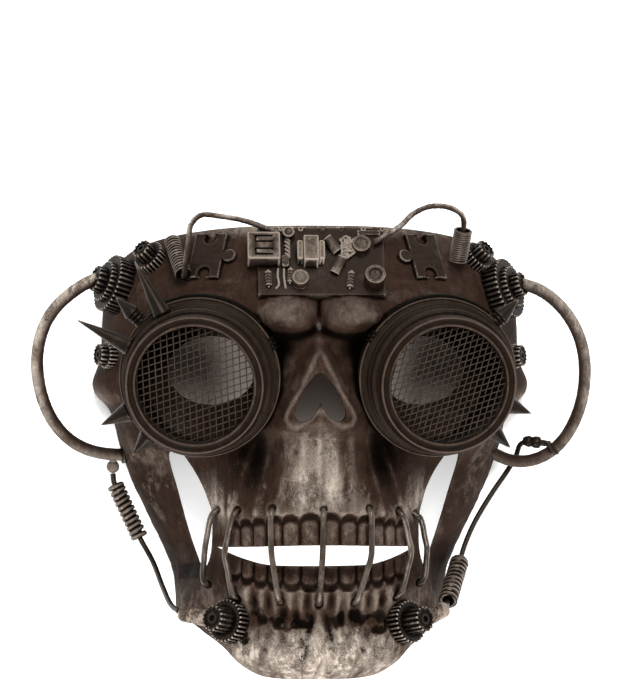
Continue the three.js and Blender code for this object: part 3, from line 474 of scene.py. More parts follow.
fine += GRAIN["lumps"] * grid_noise(34, 26, 3) + (GRAIN["grit"] + GRAIN["rough_grit"] * rough_zone) * grit
lobe_up = (grid_y - BROW_LOBE["y"]) / BROW_LOBE["tall"]
lobe_out = np.hypot((np.abs(grid_x) - BROW_LOBE["x"]) / BROW_LOBE["wide"], lobe_up)
grid_relief = relief_lift(grid_x, grid_y) + BROW_LOBE["lift"] * np.exp(-(lobe_out**5))
grid_radius = grid_plain + grid_relief + np.maximum(fine, DEEPEST)


def polar_body(turn, y, radius, axis_ends):
    columns, rows = turn.shape
    points = np.stack([radius * np.sin(turn), y, radius * np.cos(turn)], axis=-1).reshape(-1, 3)
    points = np.vstack([points, [[0, end, 0] for end in axis_ends]])
    low, high = columns * rows, columns * rows + 1
    index = np.arange(columns * rows).reshape(columns, rows)
    here, beyond = index[:-1], index[1:]
    quads = np.stack([here[:, :-1], beyond[:, :-1], beyond[:, 1:], here[:, 1:]], axis=-1).reshape(-1, 4)
    faces = quads.tolist()
    for i in range(columns - 1):
        faces.append((low, index[i + 1, 0], index[i, 0]))
        faces.append((high, index[i, -1], index[i + 1, -1]))
    faces.append((low, *index[0].tolist(), high))
    faces.append((high, *index[-1][::-1].tolist(), low))
    return points, faces


def prism(outline, low, high):
    count = len(outline)
    area = sum(a[0] * b[1] - b[0] * a[1] for a, b in zip(outline, outline[1:] + outline[:1]))
    loop = outline if area > 0 else outline[::-1]
    points = [(*p, low) for p in loop] + [(*p, high) for p in loop]
    faces = [tuple(reversed(range(count))), tuple(range(count, 2 * count))]
    for i in range(count):
        j = (i + 1) % count
        faces.append((i, j, count + j, count + i))
    return points, faces


def joined(*parts):
    points, faces, first = [], [], 0
    for part_points, part_faces in parts:
        points.append(part_points)
        faces += [tuple(v + first for v in face) for face in part_faces]
        first += len(part_points)
    return np.vstack(points), faces


def raw_object(name, points, faces):
    mesh = bpy.data.meshes.new(name)
    mesh.from_pydata(((np.asarray(points, float) - FACE_MIDDLE) * MM).tolist(), [], faces)
    mesh.update()
    return linked(name, mesh)


def cut_away(target, cutters):
    for cutter in cutters:
        cut = target.modifiers.new("cut", "BOOLEAN")
        cut.operation = "DIFFERENCE"
        cut.solver = "MANIFOLD"
        cut.object = cutter
    graph = bpy.context.evaluated_depsgraph_get()
    shaped = bpy.data.meshes.new_from_object(target.evaluated_get(graph))
    target.modifiers.clear()
    whole = target.data
    target.data = shaped
    bpy.data.meshes.remove(whole)
    for cutter in cutters:
        bpy.data.objects.remove(cutter)


# The hollow follows the lowest relief nearby, one wall inside, and runs out past the rims
HOLLOW_GRID = {"across": 72, "tall": 68, "reach": math.radians(100), "margin": 4}
NEARBY = (-5, 0, 5)
SKULL_AXIS = (-69.0, 88.0)
HOLLOW_AXIS = (-105.0, 125.0)
PUNCH_DEPTHS = (5, 145)
hollow_turn, hollow_y, hollow_plain, hollow_x = shell_grid(**HOLLOW_GRID)
nearby_lifts = [relief_lift(hollow_x + across, hollow_y + up) for across in NEARBY for up in NEARBY]
hollow_radius = hollow_plain + np.min(nearby_lifts, axis=0) - WALL
skull = raw_object("skull", *polar_body(grid_turn, grid_y, grid_radius, SKULL_AXIS))
hollow = raw_object("hollow", *polar_body(hollow_turn, hollow_y, hollow_radius, HOLLOW_AXIS))
punches = raw_object("punches", *joined(*[prism(list(outline), *PUNCH_DEPTHS) for outline in openings]))
cut_away(skull, [hollow, punches])

# Where the pale colour lies and where the colour is darkened: across, up, half width, half height, amount
# The pale zones are the rubbed bone colour; the one on the brow at (14, 65) is a painted highlight.
PALE_ZONES = [
    (0, 4, 17, 14, 0.18), (0, -12, 26, 8, 0.19), (0, -3, 1.6, 15, 0.24), (44, -14, 5, 7, 0.36),
    (40, -20, 6, 5, 0.34), (0, -88, 48, 9, 0.56), (20, -79, 22, 6, 0.48), (38, -60, 12, 7, 0.12),
    (0, -76, 8, 8, 0.25), (14, 65, 10, 6, 0.09), (84, 2, 12, 12, 0.06), (93, 25, 8, 6, 0.12),
    (0, 102, 70, 3, 0.34), (0, 54, 3, 5, 0.1), (72, -24, 14, 34, 0.045), (0, -31, 40, 4, 0.08),
    (58, -58, 10, 12, 0.14), (13, -73, 9, 4, 0.14),
]
# The dark zones are painted shade in the hollows beside the nose, at the inner eye corners, under the brow and
# round the goggles; on the teeth and the straps they only make the colour darker.
DARK_ZONES = [
    (29, 3, 9, 16, 0.9), (25, 42, 8, 14, 1.0), (17, 50, 8, 4.5, 0.8), (0, -30, 45, 8, 0.1),
    (0, -46, 45, 6, 0.72), (60, 70, 26, 8, 0.2), (78, 45, 12, 20, 0.25), (58, -52, 9, 12, 0.4),
    (72, -24, 13, 34, 0.27), (19, 34, 6, 13, 0.5),
]
# Cracks in the pale coat of the jaw: across, up, half width, half height
CRACKS = [(-31.8, -75.3, 2.6, 3.6), (-8, -68.9, 5, 2.8), (26.1, -71.9, 4.6, 2), (30, -69.5, 2, 2)]
STRAP_STAIN = {"x": -54.8, "half_wide": 5.4, "y": -49.6, "half_tall": 3.4, "slope": 0.33, "soft": 0.4}
PALE = {"streak": 0.8, "stain": 0.12, "grit": 0.3, "crease": 0.5, "tooth": 0.05, "rib": 0.1, "strap": 0.1}
# tooth_gap, under_brow and pit are painted shade, chin_side darkens both sides of the chin ridge, and torn,
# crack and strap_stain are bare or stained paint.
DARK = {
    "tooth_gap": 0.3, "torn": 0.85, "under_brow": 0.95, "crack": 0.8, "chin_side": 0.7, "pit": 0.6,
    "strap_stain": 0.34,
}
stains = np.tanh(3 * grid_noise(80, 60, 13))
creases = bell(grid_noise(84, 40, 17) / 0.11)
jaw_window = 1 - smooth_step(-70, -55, grid_y)
jaw_wear = PALE["stain"] * stains + PALE["grit"] * grit - PALE["crease"] * creases
pale_field = sum(patch(*row) for row in PALE_ZONES)
pale_field *= 1 + PALE["streak"] * grid_noise(95, 7, 9) * root_window + jaw_window * jaw_wear
pale_field += PALE["tooth"] * smooth_step(0.1, 0.45, teeth) * (1 + 0.4 * grit)
strap_wear = smooth_step(0.1, 0.22, grid_noise(44, 26, 23) + 0.3 * grit)
pale_field += PALE["strap"] * strap_wear * patch(72, -24, 14, 34)
dark_field = sum(patch(*row) for row in DARK_ZONES)
# Painted shade between the teeth and along the gum.
dark_field += DARK["tooth_gap"] * smooth_step(0.05, -0.5, teeth)
torn_edge = patch(20, -67, 19, 4, 0.62) + 0.22 * stains + 0.25 * grit
dark_field += DARK["torn"] * smooth_step(0.4, 0.52, torn_edge) * patch(20, -67, 24, 7)
# Painted shadow under the brow lobes.
dark_field += DARK["under_brow"] * bell((lobe_out - 1.2) / 0.2) * smooth_step(0, -0.6, lobe_up)
for across, up, wide, tall in CRACKS:
    crack = bell((grid_x - across) / wide) * bell((grid_y - up) / tall) + 0.2 * grit
    dark_field += DARK["crack"] * smooth_step(0.42, 0.56, crack)
# Darker along both sides of the chin ridge.
chin_sides = chin_window * bell((np.abs(grid_x) - 1.5 * chin_half) / (0.5 * chin_half))
dark_field += DARK["chin_side"] * chin_sides * (1 + 0.5 * grit)
# Painted shade in the jaw pits, a little below their middle; the ribs between them are rubbed pale.
for across, up, wide, tall, lift in JAW_PITS:
    if lift < 0:
        dark_field += hump(grid_along, grid_y, (across, up - 0.5, 0.8 * wide, 1.3 * tall, DARK["pit"]))
    else:
        pale_field += hump(grid_along, grid_y, (across, up, wide, tall, PALE["rib"]))
stain_along = grid_x - STRAP_STAIN["x"]
stain_up = grid_y - STRAP_STAIN["y"] - STRAP_STAIN["slope"] * stain_along
strap_stain = DARK["strap_stain"]
for at, half in ((stain_up, "half_tall"), (stain_along, "half_wide")):
    past = np.abs(at) - STRAP_STAIN[half]
    strap_stain = strap_stain * (1 - smooth_step(-STRAP_STAIN["soft"], STRAP_STAIN["soft"], past))
dark_field += strap_stain

# What stands up against its surroundings, less on the teeth, the nose, the jaw and the brow
RAISED = {"fine": 0.6, "broad": 0.15, "hole_edge": 0.25}
height = grid_relief + fine
fine_edge = np.clip((fine - blurred(fine, 18)) / 0.42, -1, 1)
broad_edge = np.clip((height - blurred(height, 160)) / 2.2, -1, 1)
hole_gap = np.min([outline_distance(grid_x, grid_y, outline) for outline in openings], axis=0)
raised_field = RAISED["fine"] * fine_edge + RAISED["broad"] * broad_edge
raised_field += RAISED["hole_edge"] * bell(hole_gap / 0.9)
raised_field *= 1 - 0.35 * np.maximum(upper_zone * (grid_y < -22), lower_zone * (grid_y > -54))
raised_field *= 1 - 0.4 * bell(crest_gap / 5) - patch(0, -60, 40, 6, 0.4)
raised_field *= 1 - patch(42, 76, 14, 7, 0.8) - patch(0, 51, 9, 3, 0.6)


def mesh_points(mesh):
    flat = np.zeros(len(mesh.vertices) * 3, np.float32)
    mesh.vertices.foreach_get("co", flat)
    return flat.reshape(-1, 3).astype(float) / MM + FACE_MIDDLE


def keep_mask(mesh, name, values):
    mask = mesh.attributes.get(name) or mesh.attributes.new(name, "FLOAT", "POINT")
    mask.data.foreach_set("value", np.asarray(values, np.float32))


skull_points = mesh_points(skull.data)
skull_turn = np.arctan2(skull_points[:, 0], skull_points[:, 2])
skull_low = lower_rim(skull_turn)
skull_rise = (skull_points[:, 1] - skull_low) / (top_rim(skull_turn) - skull_low)
skull_out = np.hypot(skull_points[:, 0], skull_points[:, 2])
at_turn = np.interp(skull_turn, grid_turn[:, 0], np.arange(ACROSS + 1))
at_rise = np.clip(skull_rise, 0, 1) * TALL


def on_skull(field):
    i = np.clip(at_turn.astype(int), 0, ACROSS - 1)
    j = np.clip(at_rise.astype(int), 0, TALL - 1)
    a, b = at_turn - i, at_rise - j
    lower = (1 - a) * field[i, j] + a * field[i + 1, j]
    return (1 - b) * lower + b * ((1 - a) * field[i, j + 1] + a * field[i + 1, j + 1])


outside = smooth_step(-1.2, -0.3, skull_out - on_skull(grid_radius))
keep_mask(skull.data, "raised", outside * on_skull(raised_field))
keep_mask(skull.data, "pale", outside * on_skull(pale_field))

# Paint: sheen and depth of the brush marks, and the colour sockets of the mixing node
SHEEN = (1.0, 0.85, 0.72, 1)
BUMP_DEPTH = 0.4 * MM
MIX_A, MIX_B, MIX_RESULT = 6, 7, 2


def tint(red, green, blue):
    shares = [c / 255 for c in (red, green, blue)]
    return (*[s / 12.92 if s <= 0.04045 else ((s + 0.055) / 1.055) ** 2.4 for s in shares], 1)


def add_node(tree, kind, inputs, **settings):
    node = tree.nodes.new(kind)
    for name, value in settings.items():
        setattr(node, name, value)
    return feed(tree, node, inputs)


def calc(tree, operation, a, b=0.0):
    return add_node(tree, "ShaderNodeMath", {0: a, 1: b}, operation=operation)[0]


def ramp(tree, value, start, end, low=0.0, high=1.0, kind="SMOOTHSTEP"):
    limits = {"From Min": start, "From Max": end, "To Min": low, "To Max": high}
    return add_node(tree, "ShaderNodeMapRange", {"Value": value} | limits, interpolation_type=kind)["Result"]


def mix_colours(tree, share, first, second):
    inputs = {"Factor": share, MIX_A: first, MIX_B: second}
    return add_node(tree, "ShaderNodeMix", inputs, data_type="RGBA")[MIX_RESULT]


def noise(tree, place, scale, detail, roughness=0.6):
    inputs = {"Vector": place, "Scale": scale, "Detail": detail, "Roughness": roughness}
    return add_node(tree, "ShaderNodeTexNoise", inputs)["Fac"]


# One paint coat for every piece: base paint, rubbed pale edges and patches, and painted shade in the hollows.
def rubbed_paint_and_shade_group():
    group = bpy.data.node_groups.new("rubbed_paint_and_shade", "ShaderNodeTree")
    for name in ("Deep", "Paint", "Rub"):
        group.interface.new_socket(name, in_out="INPUT", socket_type="NodeSocketColor")
    for name in ("Raised", "Pale", "Dark", "Edge Rub", "Edge From", "Edge To", "Patches"):
        group.interface.new_socket(name, in_out="INPUT", socket_type="NodeSocketFloat")
    group.interface.new_socket("Color", in_out="OUTPUT", socket_type="NodeSocketColor")
    for name in ("Rubbed", "Roughness", "Height"):
        group.interface.new_socket(name, in_out="OUTPUT", socket_type="NodeSocketFloat")
    given = group.nodes.new("NodeGroupInput").outputs
    place = group.nodes.new("ShaderNodeTexCoord").outputs["Object"]

    def swing(value):
        return calc(group, "MULTIPLY", calc(group, "SUBTRACT", value, 0.5), 4.0)

    def total(first, *weighted):
        for value, weight in weighted:
            first = calc(group, "ADD", first, calc(group, "MULTIPLY", value, weight))
        return first

    stretch = {0: place, 1: (1.0, 0.45, 1.0)}
    drawn = add_node(group, "ShaderNodeVectorMath", stretch, operation="MULTIPLY")["Vector"]
    streak = noise(group, drawn, 330, 5, 0.75)
    speck = noise(group, place, 1300, 3, 0.75)
    blotch, mottle, grain = swing(noise(group, place, 60, 3)), swing(streak), swing(speck)
    spots = calc(group, "MULTIPLY", blotch, given["Patches"])
    edge = calc(group, "MULTIPLY", given["Raised"], given["Edge Rub"])
    edge = ramp(group, total(edge, (mottle, 0.1), (grain, 0.08)), given["Edge From"], given["Edge To"])
    flakes = ramp(group, total(blotch, (mottle, 0.6)), -0.2, 0.2, -0.42, 0.42)
    one = calc(group, "ADD", calc(group, "MULTIPLY", flakes, given["Patches"]), 1.0)
    uneven_coat = total(one, (mottle, 0.55), (grain, 0.55))
    crackle = ramp(group, calc(group, "ABSOLUTE", mottle), 0.0, 0.22, 0.72, 1.0)
    cover = calc(group, "MULTIPLY", calc(group, "MULTIPLY", given["Pale"], uneven_coat), crackle)
    cover = total(cover, (given["Raised"], 0.15), (given["Dark"], -0.45))
    cover = ramp(group, cover, 0.0, 1.0, kind="LINEAR")
    rubbed = calc(group, "MAXIMUM", calc(group, "MULTIPLY", edge, 0.75), cover)
    rubbed = calc(group, "MAXIMUM", rubbed, ramp(group, speck, 0.69, 0.78, 0.0, 0.3))
    # Painted shade: the colour goes towards Deep where Dark is high and where the surface bends inward (Raised
    # below zero), so hollows, creases and corners turn near black.
    sunk = total(given["Dark"], (given["Raised"], -0.6), (spots, -0.12), (mottle, -0.1))
    hard_sunk = calc(group, "MULTIPLY", ramp(group, sunk, 0.42, 0.58), 0.75)
    sunk = calc(group, "MAXIMUM", ramp(group, sunk, 0.0, 1.0), hard_sunk)
    thin = ramp(group, total(spots, (mottle, 0.3)), 0.05, 0.5, 0.0, 0.04)
    coat = mix_colours(group, thin, given["Paint"], given["Rub"])
    dull = ramp(group, total(streak, (speck, 0.6)), 0.6, 0.9, 0.4, 0.0)
    coat = mix_colours(group, dull, coat, given["Deep"])
    coat = mix_colours(group, sunk, coat, given["Deep"])
    marks = calc(group, "ADD", calc(group, "MULTIPLY", streak, 0.6), calc(group, "MULTIPLY", speck, 0.4))
    feed(group, group.nodes.new("NodeGroupOutput"), {
        "Color": mix_colours(group, rubbed, coat, given["Rub"]), "Rubbed": rubbed,
        "Roughness": ramp(group, streak, 0.2, 0.8, 0.38, 0.62), "Height": marks,
    })
    return group


rubbed_paint_and_shade = rubbed_paint_and_shade_group()


def painted(
    name, deep, paint, rub, edge_rub, patches, bump,
    metal=0.0, pale=0.0, gloss=0.07, rough=1.0, edge=(0.3, 0.62), masks=("raised", "dark"),
):
    material, tree, shader = new_material(name)
    coat_inputs = {
        "Deep": tint(*deep), "Paint": tint(*paint), "Rub": tint(*rub), "Edge Rub": edge_rub,
        "Edge From": edge[0], "Edge To": edge[1], "Patches": patches, "Pale": pale,
    }
    for mask in masks:
        reader = add_node(tree, "ShaderNodeAttribute", {}, attribute_name=mask)
        coat_inputs[mask.capitalize()] = reader["Fac"]
    coat = add_node(tree, "ShaderNodeGroup", coat_inputs, node_tree=rubbed_paint_and_shade)
    relief = {"Strength": bump, "Distance": BUMP_DEPTH, "Height": coat["Height"]}
    feed(tree, shader, {
        "Base Color": coat["Color"],
        "Roughness": calc(tree, "MULTIPLY", coat["Roughness"], rough),
        "Normal": add_node(tree, "ShaderNodeBump", relief)["Normal"],
        "Specular IOR Level": gloss,
        "Specular Tint": SHEEN,
    })
    if metal:
        feed(tree, shader, {"Metallic": calc(tree, "MULTIPLY", coat["Rubbed"], metal)})
    return material


bone_paint = painted(
    "bone_paint", (4, 2, 1), (46, 33, 26), (168, 156, 144), edge_rub=0.7, patches=0.7, bump=0.6,
    gloss=0.03, rough=1.45, edge=(0.12, 1.0), masks=("raised", "pale", "dark"),
)
dressed = []


def finish_piece(piece, material, node, sharp=40):
    piece.data.materials.clear()
    piece.data.materials.append(material)
    piece.data.shade_smooth()
    piece.data.set_sharp_from_angle(angle=math.radians(sharp))
    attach(piece, "root")
    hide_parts(node)
    dressed.append(piece)


finish_piece(skull, bone_paint, "skull_shell", sharp=50)


# Goggle barrels
# Two stepped plastic barrels that stand on the eye sockets and lean a little out and down. Each has
# turned ridges, a wider foot that follows the bone, and an open clamp band round that foot.
SIDES = {"left": -1, "right": 1}
GOGGLE = {"x": 53.8, "y": 34, "z": 96, "lean_out": 0.115, "lean_down": 0.15, "sides": 112}
# Outside of a barrel from its front edge to its foot: radius, level
BARREL_STEPS = [
    (25.2, -3.8), (27, -3.8), (27, -6.8), (30.6, -6.8), (31.5, -7.6), (31.5, -9.6), (30.7, -10.2),
    (30.7, -11), (31.3, -11.4), (31.3, -14.2), (32, -14.7), (32, -16.2), (31.2, -16.8), (31.2, -18.6),
    (32.6, -19), (33.5, -19.9), (33.5, -23.5),
]
BARREL = {"wall": 2.4, "ceiling": -9.2, "toe": 1.1, "toe_tall": 1.2, "toe_sunk": 0.1, "fillet": 0.4}
CLAMP = {"radius": 33, "outer": 34.7, "from": -25.6, "to": -20.8, "edge": 0.35}
STRAP_END = {"radius": 34.4, "outer": 36, "level": -23.2, "half_tall": 1.9, "sweep": 80, "round": 2.2}
STRAP_STARTS = {-1: 41, 1: 51}
BUCKLE = {"radius": 33.8, "outer": 36.4, "half_tall": 2.6, "rib": 0.75, "pitch": 2.1, "fall": 0.4}
BUCKLE_TURNS = {-1: 24, 1: 148}
BAR_EDGE = 0.3
SUNK = 0.5


def loft(loops):
    loops = [np.asarray(loop, float).reshape(-1, 3) for loop in loops]
    faces, a = [], 0
    for here, beyond in zip(loops, loops[1:]):
        b = a + len(here)
        count = max(len(here), len(beyond))
        for i in range(count):
            j = (i + 1) % count
            if len(here) == 1:
                faces.append((a, b + j, b + i))
            elif len(beyond) == 1:
                faces.append((a + i, a + j, b))
            else:
                faces.append((a + i, a + j, b + j, b + i))
        a = b
    return np.vstack(loops), faces


def ring(radius, height, sides):
    if radius == 0:
        return np.array([[0, 0, height]])
    turn = 2 * np.pi * np.arange(sides) / sides
    return np.stack([radius * np.cos(turn), radius * np.sin(turn), np.full(sides, height)], axis=-1)


def turned(profile, sides):
    return loft([ring(radius, height, sides) for radius, height in profile])


# Extra points close to both ends of each long stretch, so that edges wear in a narrow line
def supported(profile, gap=0.35):
    rows = []
    for start, end in zip(profile, profile[1:]):
        start, end = np.asarray(start, float), np.asarray(end, float)
        long = np.linalg.norm(end - start)
        rows.append(start)
        if long > 3 * gap:
            rows += [start + gap / long * (end - start), end - gap / long * (end - start)]
    return [*rows, profile[-1]]


def axes_along(axis, up=(0, 1, 0)):
    z = unit(axis)
    x = unit(np.cross(up, z))
    return np.stack([x, np.cross(z, x), z])


def stood(points, origin, axis, up=(0, 1, 0)):
    return np.asarray(points, float) @ axes_along(axis, up) + np.asarray(origin, float)


def placed(body, origin, axis, up=(0, 1, 0)):
    points, faces = body
    return stood(points, origin, axis, up), faces


# Points moved back along an axis until they are sunk in the bone
def dropped(points, axis, sunk=SUNK, reach=95.0):
    axis = unit(axis)
    low = np.zeros(len(points))
    high = np.full(len(points), reach)
    for _ in range(SEARCH_STEPS):
        middle = (low + high) / 2
        at = points - middle[:, None] * axis
        turn = np.arctan2(at[:, 0], at[:, 2])
        out = np.hypot(at[:, 0], at[:, 2]) - bone_radius(np.clip(turn, -np.pi / 2, np.pi / 2), at[:, 1])
        below = (out < -sunk) | (at[:, 2] < 0.4)
        high = np.where(below, middle, high)
        low = np.where(below, low, middle)
    return points - low[:, None] * axis


def mesh_normals(mesh):
    flat = np.zeros(len(mesh.vertices) * 3, np.float32)
    mesh.vertex_normals.foreach_get("vector", flat)
    return flat.reshape(-1, 3).astype(float)


# How far each vertex stands out, from the bend of the edges that meet there
def mark_raised(mesh, reach):
    points, normals = mesh_points(mesh), mesh_normals(mesh)
    ends = np.zeros(len(mesh.edges) * 2, np.int32)
    mesh.edges.foreach_get("vertices", ends)
    a, b = ends.reshape(-1, 2).T
    apart = points[b] - points[a]
    length = np.maximum(np.linalg.norm(apart, axis=1), 0.05)
    bends = np.einsum("ij,ij->i", normals[b] - normals[a], apart) / length**2
    total = np.zeros(len(points))
    count = np.zeros(len(points))
    for end in (a, b):
        np.add.at(total, end, bends)
        np.add.at(count, end, 1)
    keep_mask(mesh, "raised", np.clip(reach * total / np.maximum(count, 1), -1, 1))


def solid_piece(node, word, body, material, reach=0.5, sharp=40):
    piece = raw_object(f"{node}_{word}", *body)
    mark_raised(piece.data, reach)
    finish_piece(piece, material, node, sharp)
    return piece


def goggle_axis(side):
    return np.array([side * GOGGLE["lean_out"], -GOGGLE["lean_down"], 1.0])


def on_goggle(body, side):
    return placed(body, (side * GOGGLE["x"], GOGGLE["y"], GOGGLE["z"]), goggle_axis(side))


def barrel_body(side):
    axis = goggle_axis(side)

    def hoop(radius, level):
        return on_goggle((ring(radius, level, GOGGLE["sides"]), None), side)[0]

    foot_radius, foot_level = BARREL_STEPS[-1]
    outer = [hoop(*step) for step in supported(BARREL_STEPS)]
    lip = hoop(foot_radius, foot_level - 0.1)
    foot = dropped(lip, axis)
    toe = dropped(hoop(foot_radius + BARREL["toe"], foot_level), axis, BARREL["toe_sunk"])
    toe_top = toe + BARREL["toe_tall"] * unit(axis)
    fillet = (toe_top + foot) / 2 + BARREL["fillet"] * axis
    ceiling = hoop(foot_radius - BARREL["wall"], BARREL["ceiling"])
    bore = hoop(BARREL_STEPS[0][0], BARREL["ceiling"])
    inside = [outer[0], bore, ceiling, dropped(ceiling, axis)]
    return loft([*inside, foot, toe, toe_top, fillet, lip, *outer[::-1]])


def arc_bar(sizes, start, sweep, half_tall_at, steps):
    radius, outer = sizes["radius"], sizes["outer"]
    loops = []
    for share in np.linspace(0, 1, steps):
        turn = math.radians(start + sweep * share)
        half = max(half_tall_at(math.radians(sweep) * share * outer), 0.05)
        corners = [(radius, -half), (outer - BAR_EDGE, -half), (outer, BAR_EDGE - half)]
        corners += [(outer, half - BAR_EDGE), (outer - BAR_EDGE, half), (radius, half)]
        loops.append([(r * math.cos(turn), r * math.sin(turn), STRAP_END["level"] + h) for r, h in corners])
    return loft([[np.mean(loops[0], axis=0)], *loops, [np.mean(loops[-1], axis=0)]])


def strap_end_half(gone):
    left = max(STRAP_END["round"] - gone, 0) / STRAP_END["round"]
    return STRAP_END["half_tall"] * math.sqrt(1 - left**2)


def clamp_body(side):
    inner, outer, edge = CLAMP["radius"], CLAMP["outer"], CLAMP["edge"]
    low, high = CLAMP["from"], CLAMP["to"]
    band = [(inner, low), (outer - edge, low), (outer, low + edge)]
    band += [(outer, high - edge), (outer - edge, high), (inner, high), (inner, low)]
    parts = [turned(supported(band), GOGGLE["sides"])]
    parts.append(arc_bar(STRAP_END, STRAP_STARTS[side], STRAP_END["sweep"], strap_end_half, 60))
    for rib in (-1, 0, 1):
        start = BUCKLE_TURNS[side] + rib * math.degrees(BUCKLE["pitch"] / STRAP_END["outer"])
        sweep = 2 * math.degrees(BUCKLE["rib"] / STRAP_END["outer"])
        sizes = BUCKLE | {"outer": BUCKLE["outer"] - BUCKLE["fall"] * abs(rib)}
        parts.append(arc_bar(sizes, start, sweep, lambda gone: BUCKLE["half_tall"], 4))
    return on_goggle(joined(*parts), side)


goggle_paint = painted(
    "goggle_paint", (3, 2, 1), (22, 14, 9), (74, 62, 54), edge_rub=0.64, patches=0.3, bump=0.3,
)
for word, side in SIDES.items():
    barrel = joined(barrel_body(side), clamp_body(side))
    solid_piece(f"goggle_barrel_{word}", "shell", barrel, goggle_paint, reach=1.3)


# Goggle rims
# A turned plastic ring caps each barrel. Its face is broad, a little hollow, with a bead round both
# edges, and its skirt goes over the barrel's front step.
RIM_PROFILE = [
    (24.9, -2), (24.9, -0.7), (25.2, -0.15), (25.7, 0), (26.2, -0.2), (26.5, -0.75), (27.3, -0.95),
    (28, -0.7), (28.3, -0.15), (28.7, 0), (29.1, -0.2), (29.4, -0.8), (29.4, -2.6), (29.1, -3),
    (29.1, -3.5), (29.4, -3.9), (29.4, -6.5), (27.3, -6.5), (27.3, -2),
]
for word, side in SIDES.items():
    rim = turned(supported([*RIM_PROFILE, RIM_PROFILE[0]])[::-1], GOGGLE["sides"])
    solid_piece(f"goggle_rim_{word}", "ring", on_goggle(rim, side), goggle_paint, reach=1.2)


# Goggle screens
# A screen of woven metal wire, painted over, is held behind each rim in a thin hoop. One set of wires
# runs up, the other climbs to the right.
SCREEN = {"radius": 26.2, "level": -2.8, "pitch": 2.85, "wire": 0.26, "wave": 0.8, "slope": 18, "sides": 5}
SCREEN_LEANS = {-1: 2, 1: -14}
SCREEN_HOOP = [(25.3, -0.6), (26.3, -0.6), (26.3, 0.45), (25.6, 0.5), (25.3, 0.2), (25.3, -0.6)]


def tube(path, radius, sides):
    path = np.asarray(path, float)
    radius = np.broadcast_to(radius, len(path))
    ahead = unit(np.gradient(path, axis=0))
    helper = (0, 0, 1) if abs(ahead[0, 2]) < 0.9 else (0, 1, 0)
    across = np.cross(ahead[0], helper)
    turn = 2 * np.pi * np.arange(sides)[:, None] / sides
    loops = []
    for k, centre in enumerate(path):
        across = unit(across - ahead[k] * across.dot(ahead[k]))
        spokes = np.cos(turn) * across + np.sin(turn) * np.cross(ahead[k], across)
        loops.append(centre + radius[k] * spokes)
    return loft([[path[0]], *loops, [path[-1]]])


def screen_body(side):
    upright = 90 + SCREEN_LEANS[side]
    spacing = SCREEN["pitch"] * math.sin(math.radians(upright - SCREEN["slope"]))
    count = int(SCREEN["radius"] / spacing)
    parts = []
    for angle, over in ((upright, 1), (SCREEN["slope"], -1)):
        along = np.array([math.cos(math.radians(angle)), math.sin(math.radians(angle)), 0])
        across = np.array([-along[1], along[0], 0])
        for i in range(-count, count + 1):
            half = math.sqrt(max(SCREEN["radius"] ** 2 - (i * spacing) ** 2, 0.01))
            t = np.arange(-half, half, SCREEN["pitch"] / 4)
            path = i * spacing * across + t[:, None] * along
            path[:, 2] = over * SCREEN["wave"] * SCREEN["wire"] * np.cos(np.pi * (t / SCREEN["pitch"] + i))
            if len(path) > 3:
                parts.append(tube(path, SCREEN["wire"], SCREEN["sides"]))
    points, faces = joined(*parts, turned(SCREEN_HOOP, GOGGLE["sides"]))
    return on_goggle((points + np.array([0, 0, SCREEN["level"]]), faces), side)


mesh_paint = painted(
    "mesh_paint", (6, 5, 4), (44, 37, 32), (120, 110, 100), edge_rub=0.3, patches=0.6, bump=0.2, metal=0.3,
)
for word, side in SIDES.items():
    solid_piece(f"goggle_screen_{word}", "mesh", screen_body(side), mesh_paint, reach=0.1)


# Spikes
# Smooth moulded plastic cones round the goggles, set in the side of each barrel or its foot. Two of
# them stand on a ribbed stub.
# Each spike: side, angle round the goggle, distance of its base, length, radius, level, length of its stub
SPIKES = {
    "left_1": (-1, 117, 32, 25, 4, -13.5, 0),
    "left_2": (-1, 136, 34, 10, 3.6, -23.5, 5.5),
    "left_3": (-1, 153, 32, 25, 4, -13.5, 0),
    "left_4": (-1, 206, 34, 14, 4.6, -23.5, 0),
    "left_5": (-1, 229, 34, 11.5, 4.3, -23.5, 0),
    "right_1": (1, 44, 34, 11, 3.8, -23.5, 3.5),
    "right_2": (1, -21, 34, 11.5, 4.2, -23.5, 0),
    "right_3": (1, -43, 34, 12, 4.2, -23.5, 0),
}
SPIKE_ROOT = -2.4
SPIKE_RIB = {"tall": 1.4, "waist": 0.72, "out": 0.9, "from": 0.25, "to": 0.7}
SPIKE_SIDES = 28


def spike_profile(long, radius, stub):
    profile = [(0, SPIKE_ROOT), (radius * 0.8, SPIKE_ROOT)]
    if stub:
        waist, out = radius * SPIKE_RIB["waist"], radius * SPIKE_RIB["out"]
        ribs = max(int(stub / SPIKE_RIB["tall"]), 2)
        rib = stub / ribs
        for low in stub * np.arange(ribs) / ribs:
            profile += [(waist, low), (out, low + SPIKE_RIB["from"] * rib), (out, low + SPIKE_RIB["to"] * rib)]
        profile.append((waist, stub))
    profile += [(radius * 0.94, stub), (radius, stub + 0.35), (radius, stub + 1), (radius * 0.95, stub + 1.5)]
    for t in (0.2, 0.4, 0.6, 0.8, 0.93):
        profile.append((radius * (1 - t) * (1 - 0.12 * t) + 0.3 * t, stub + 1.2 + (long - 1.2) * t))
    return [*profile, (0.25, stub + long - 0.1), (0, stub + long)]


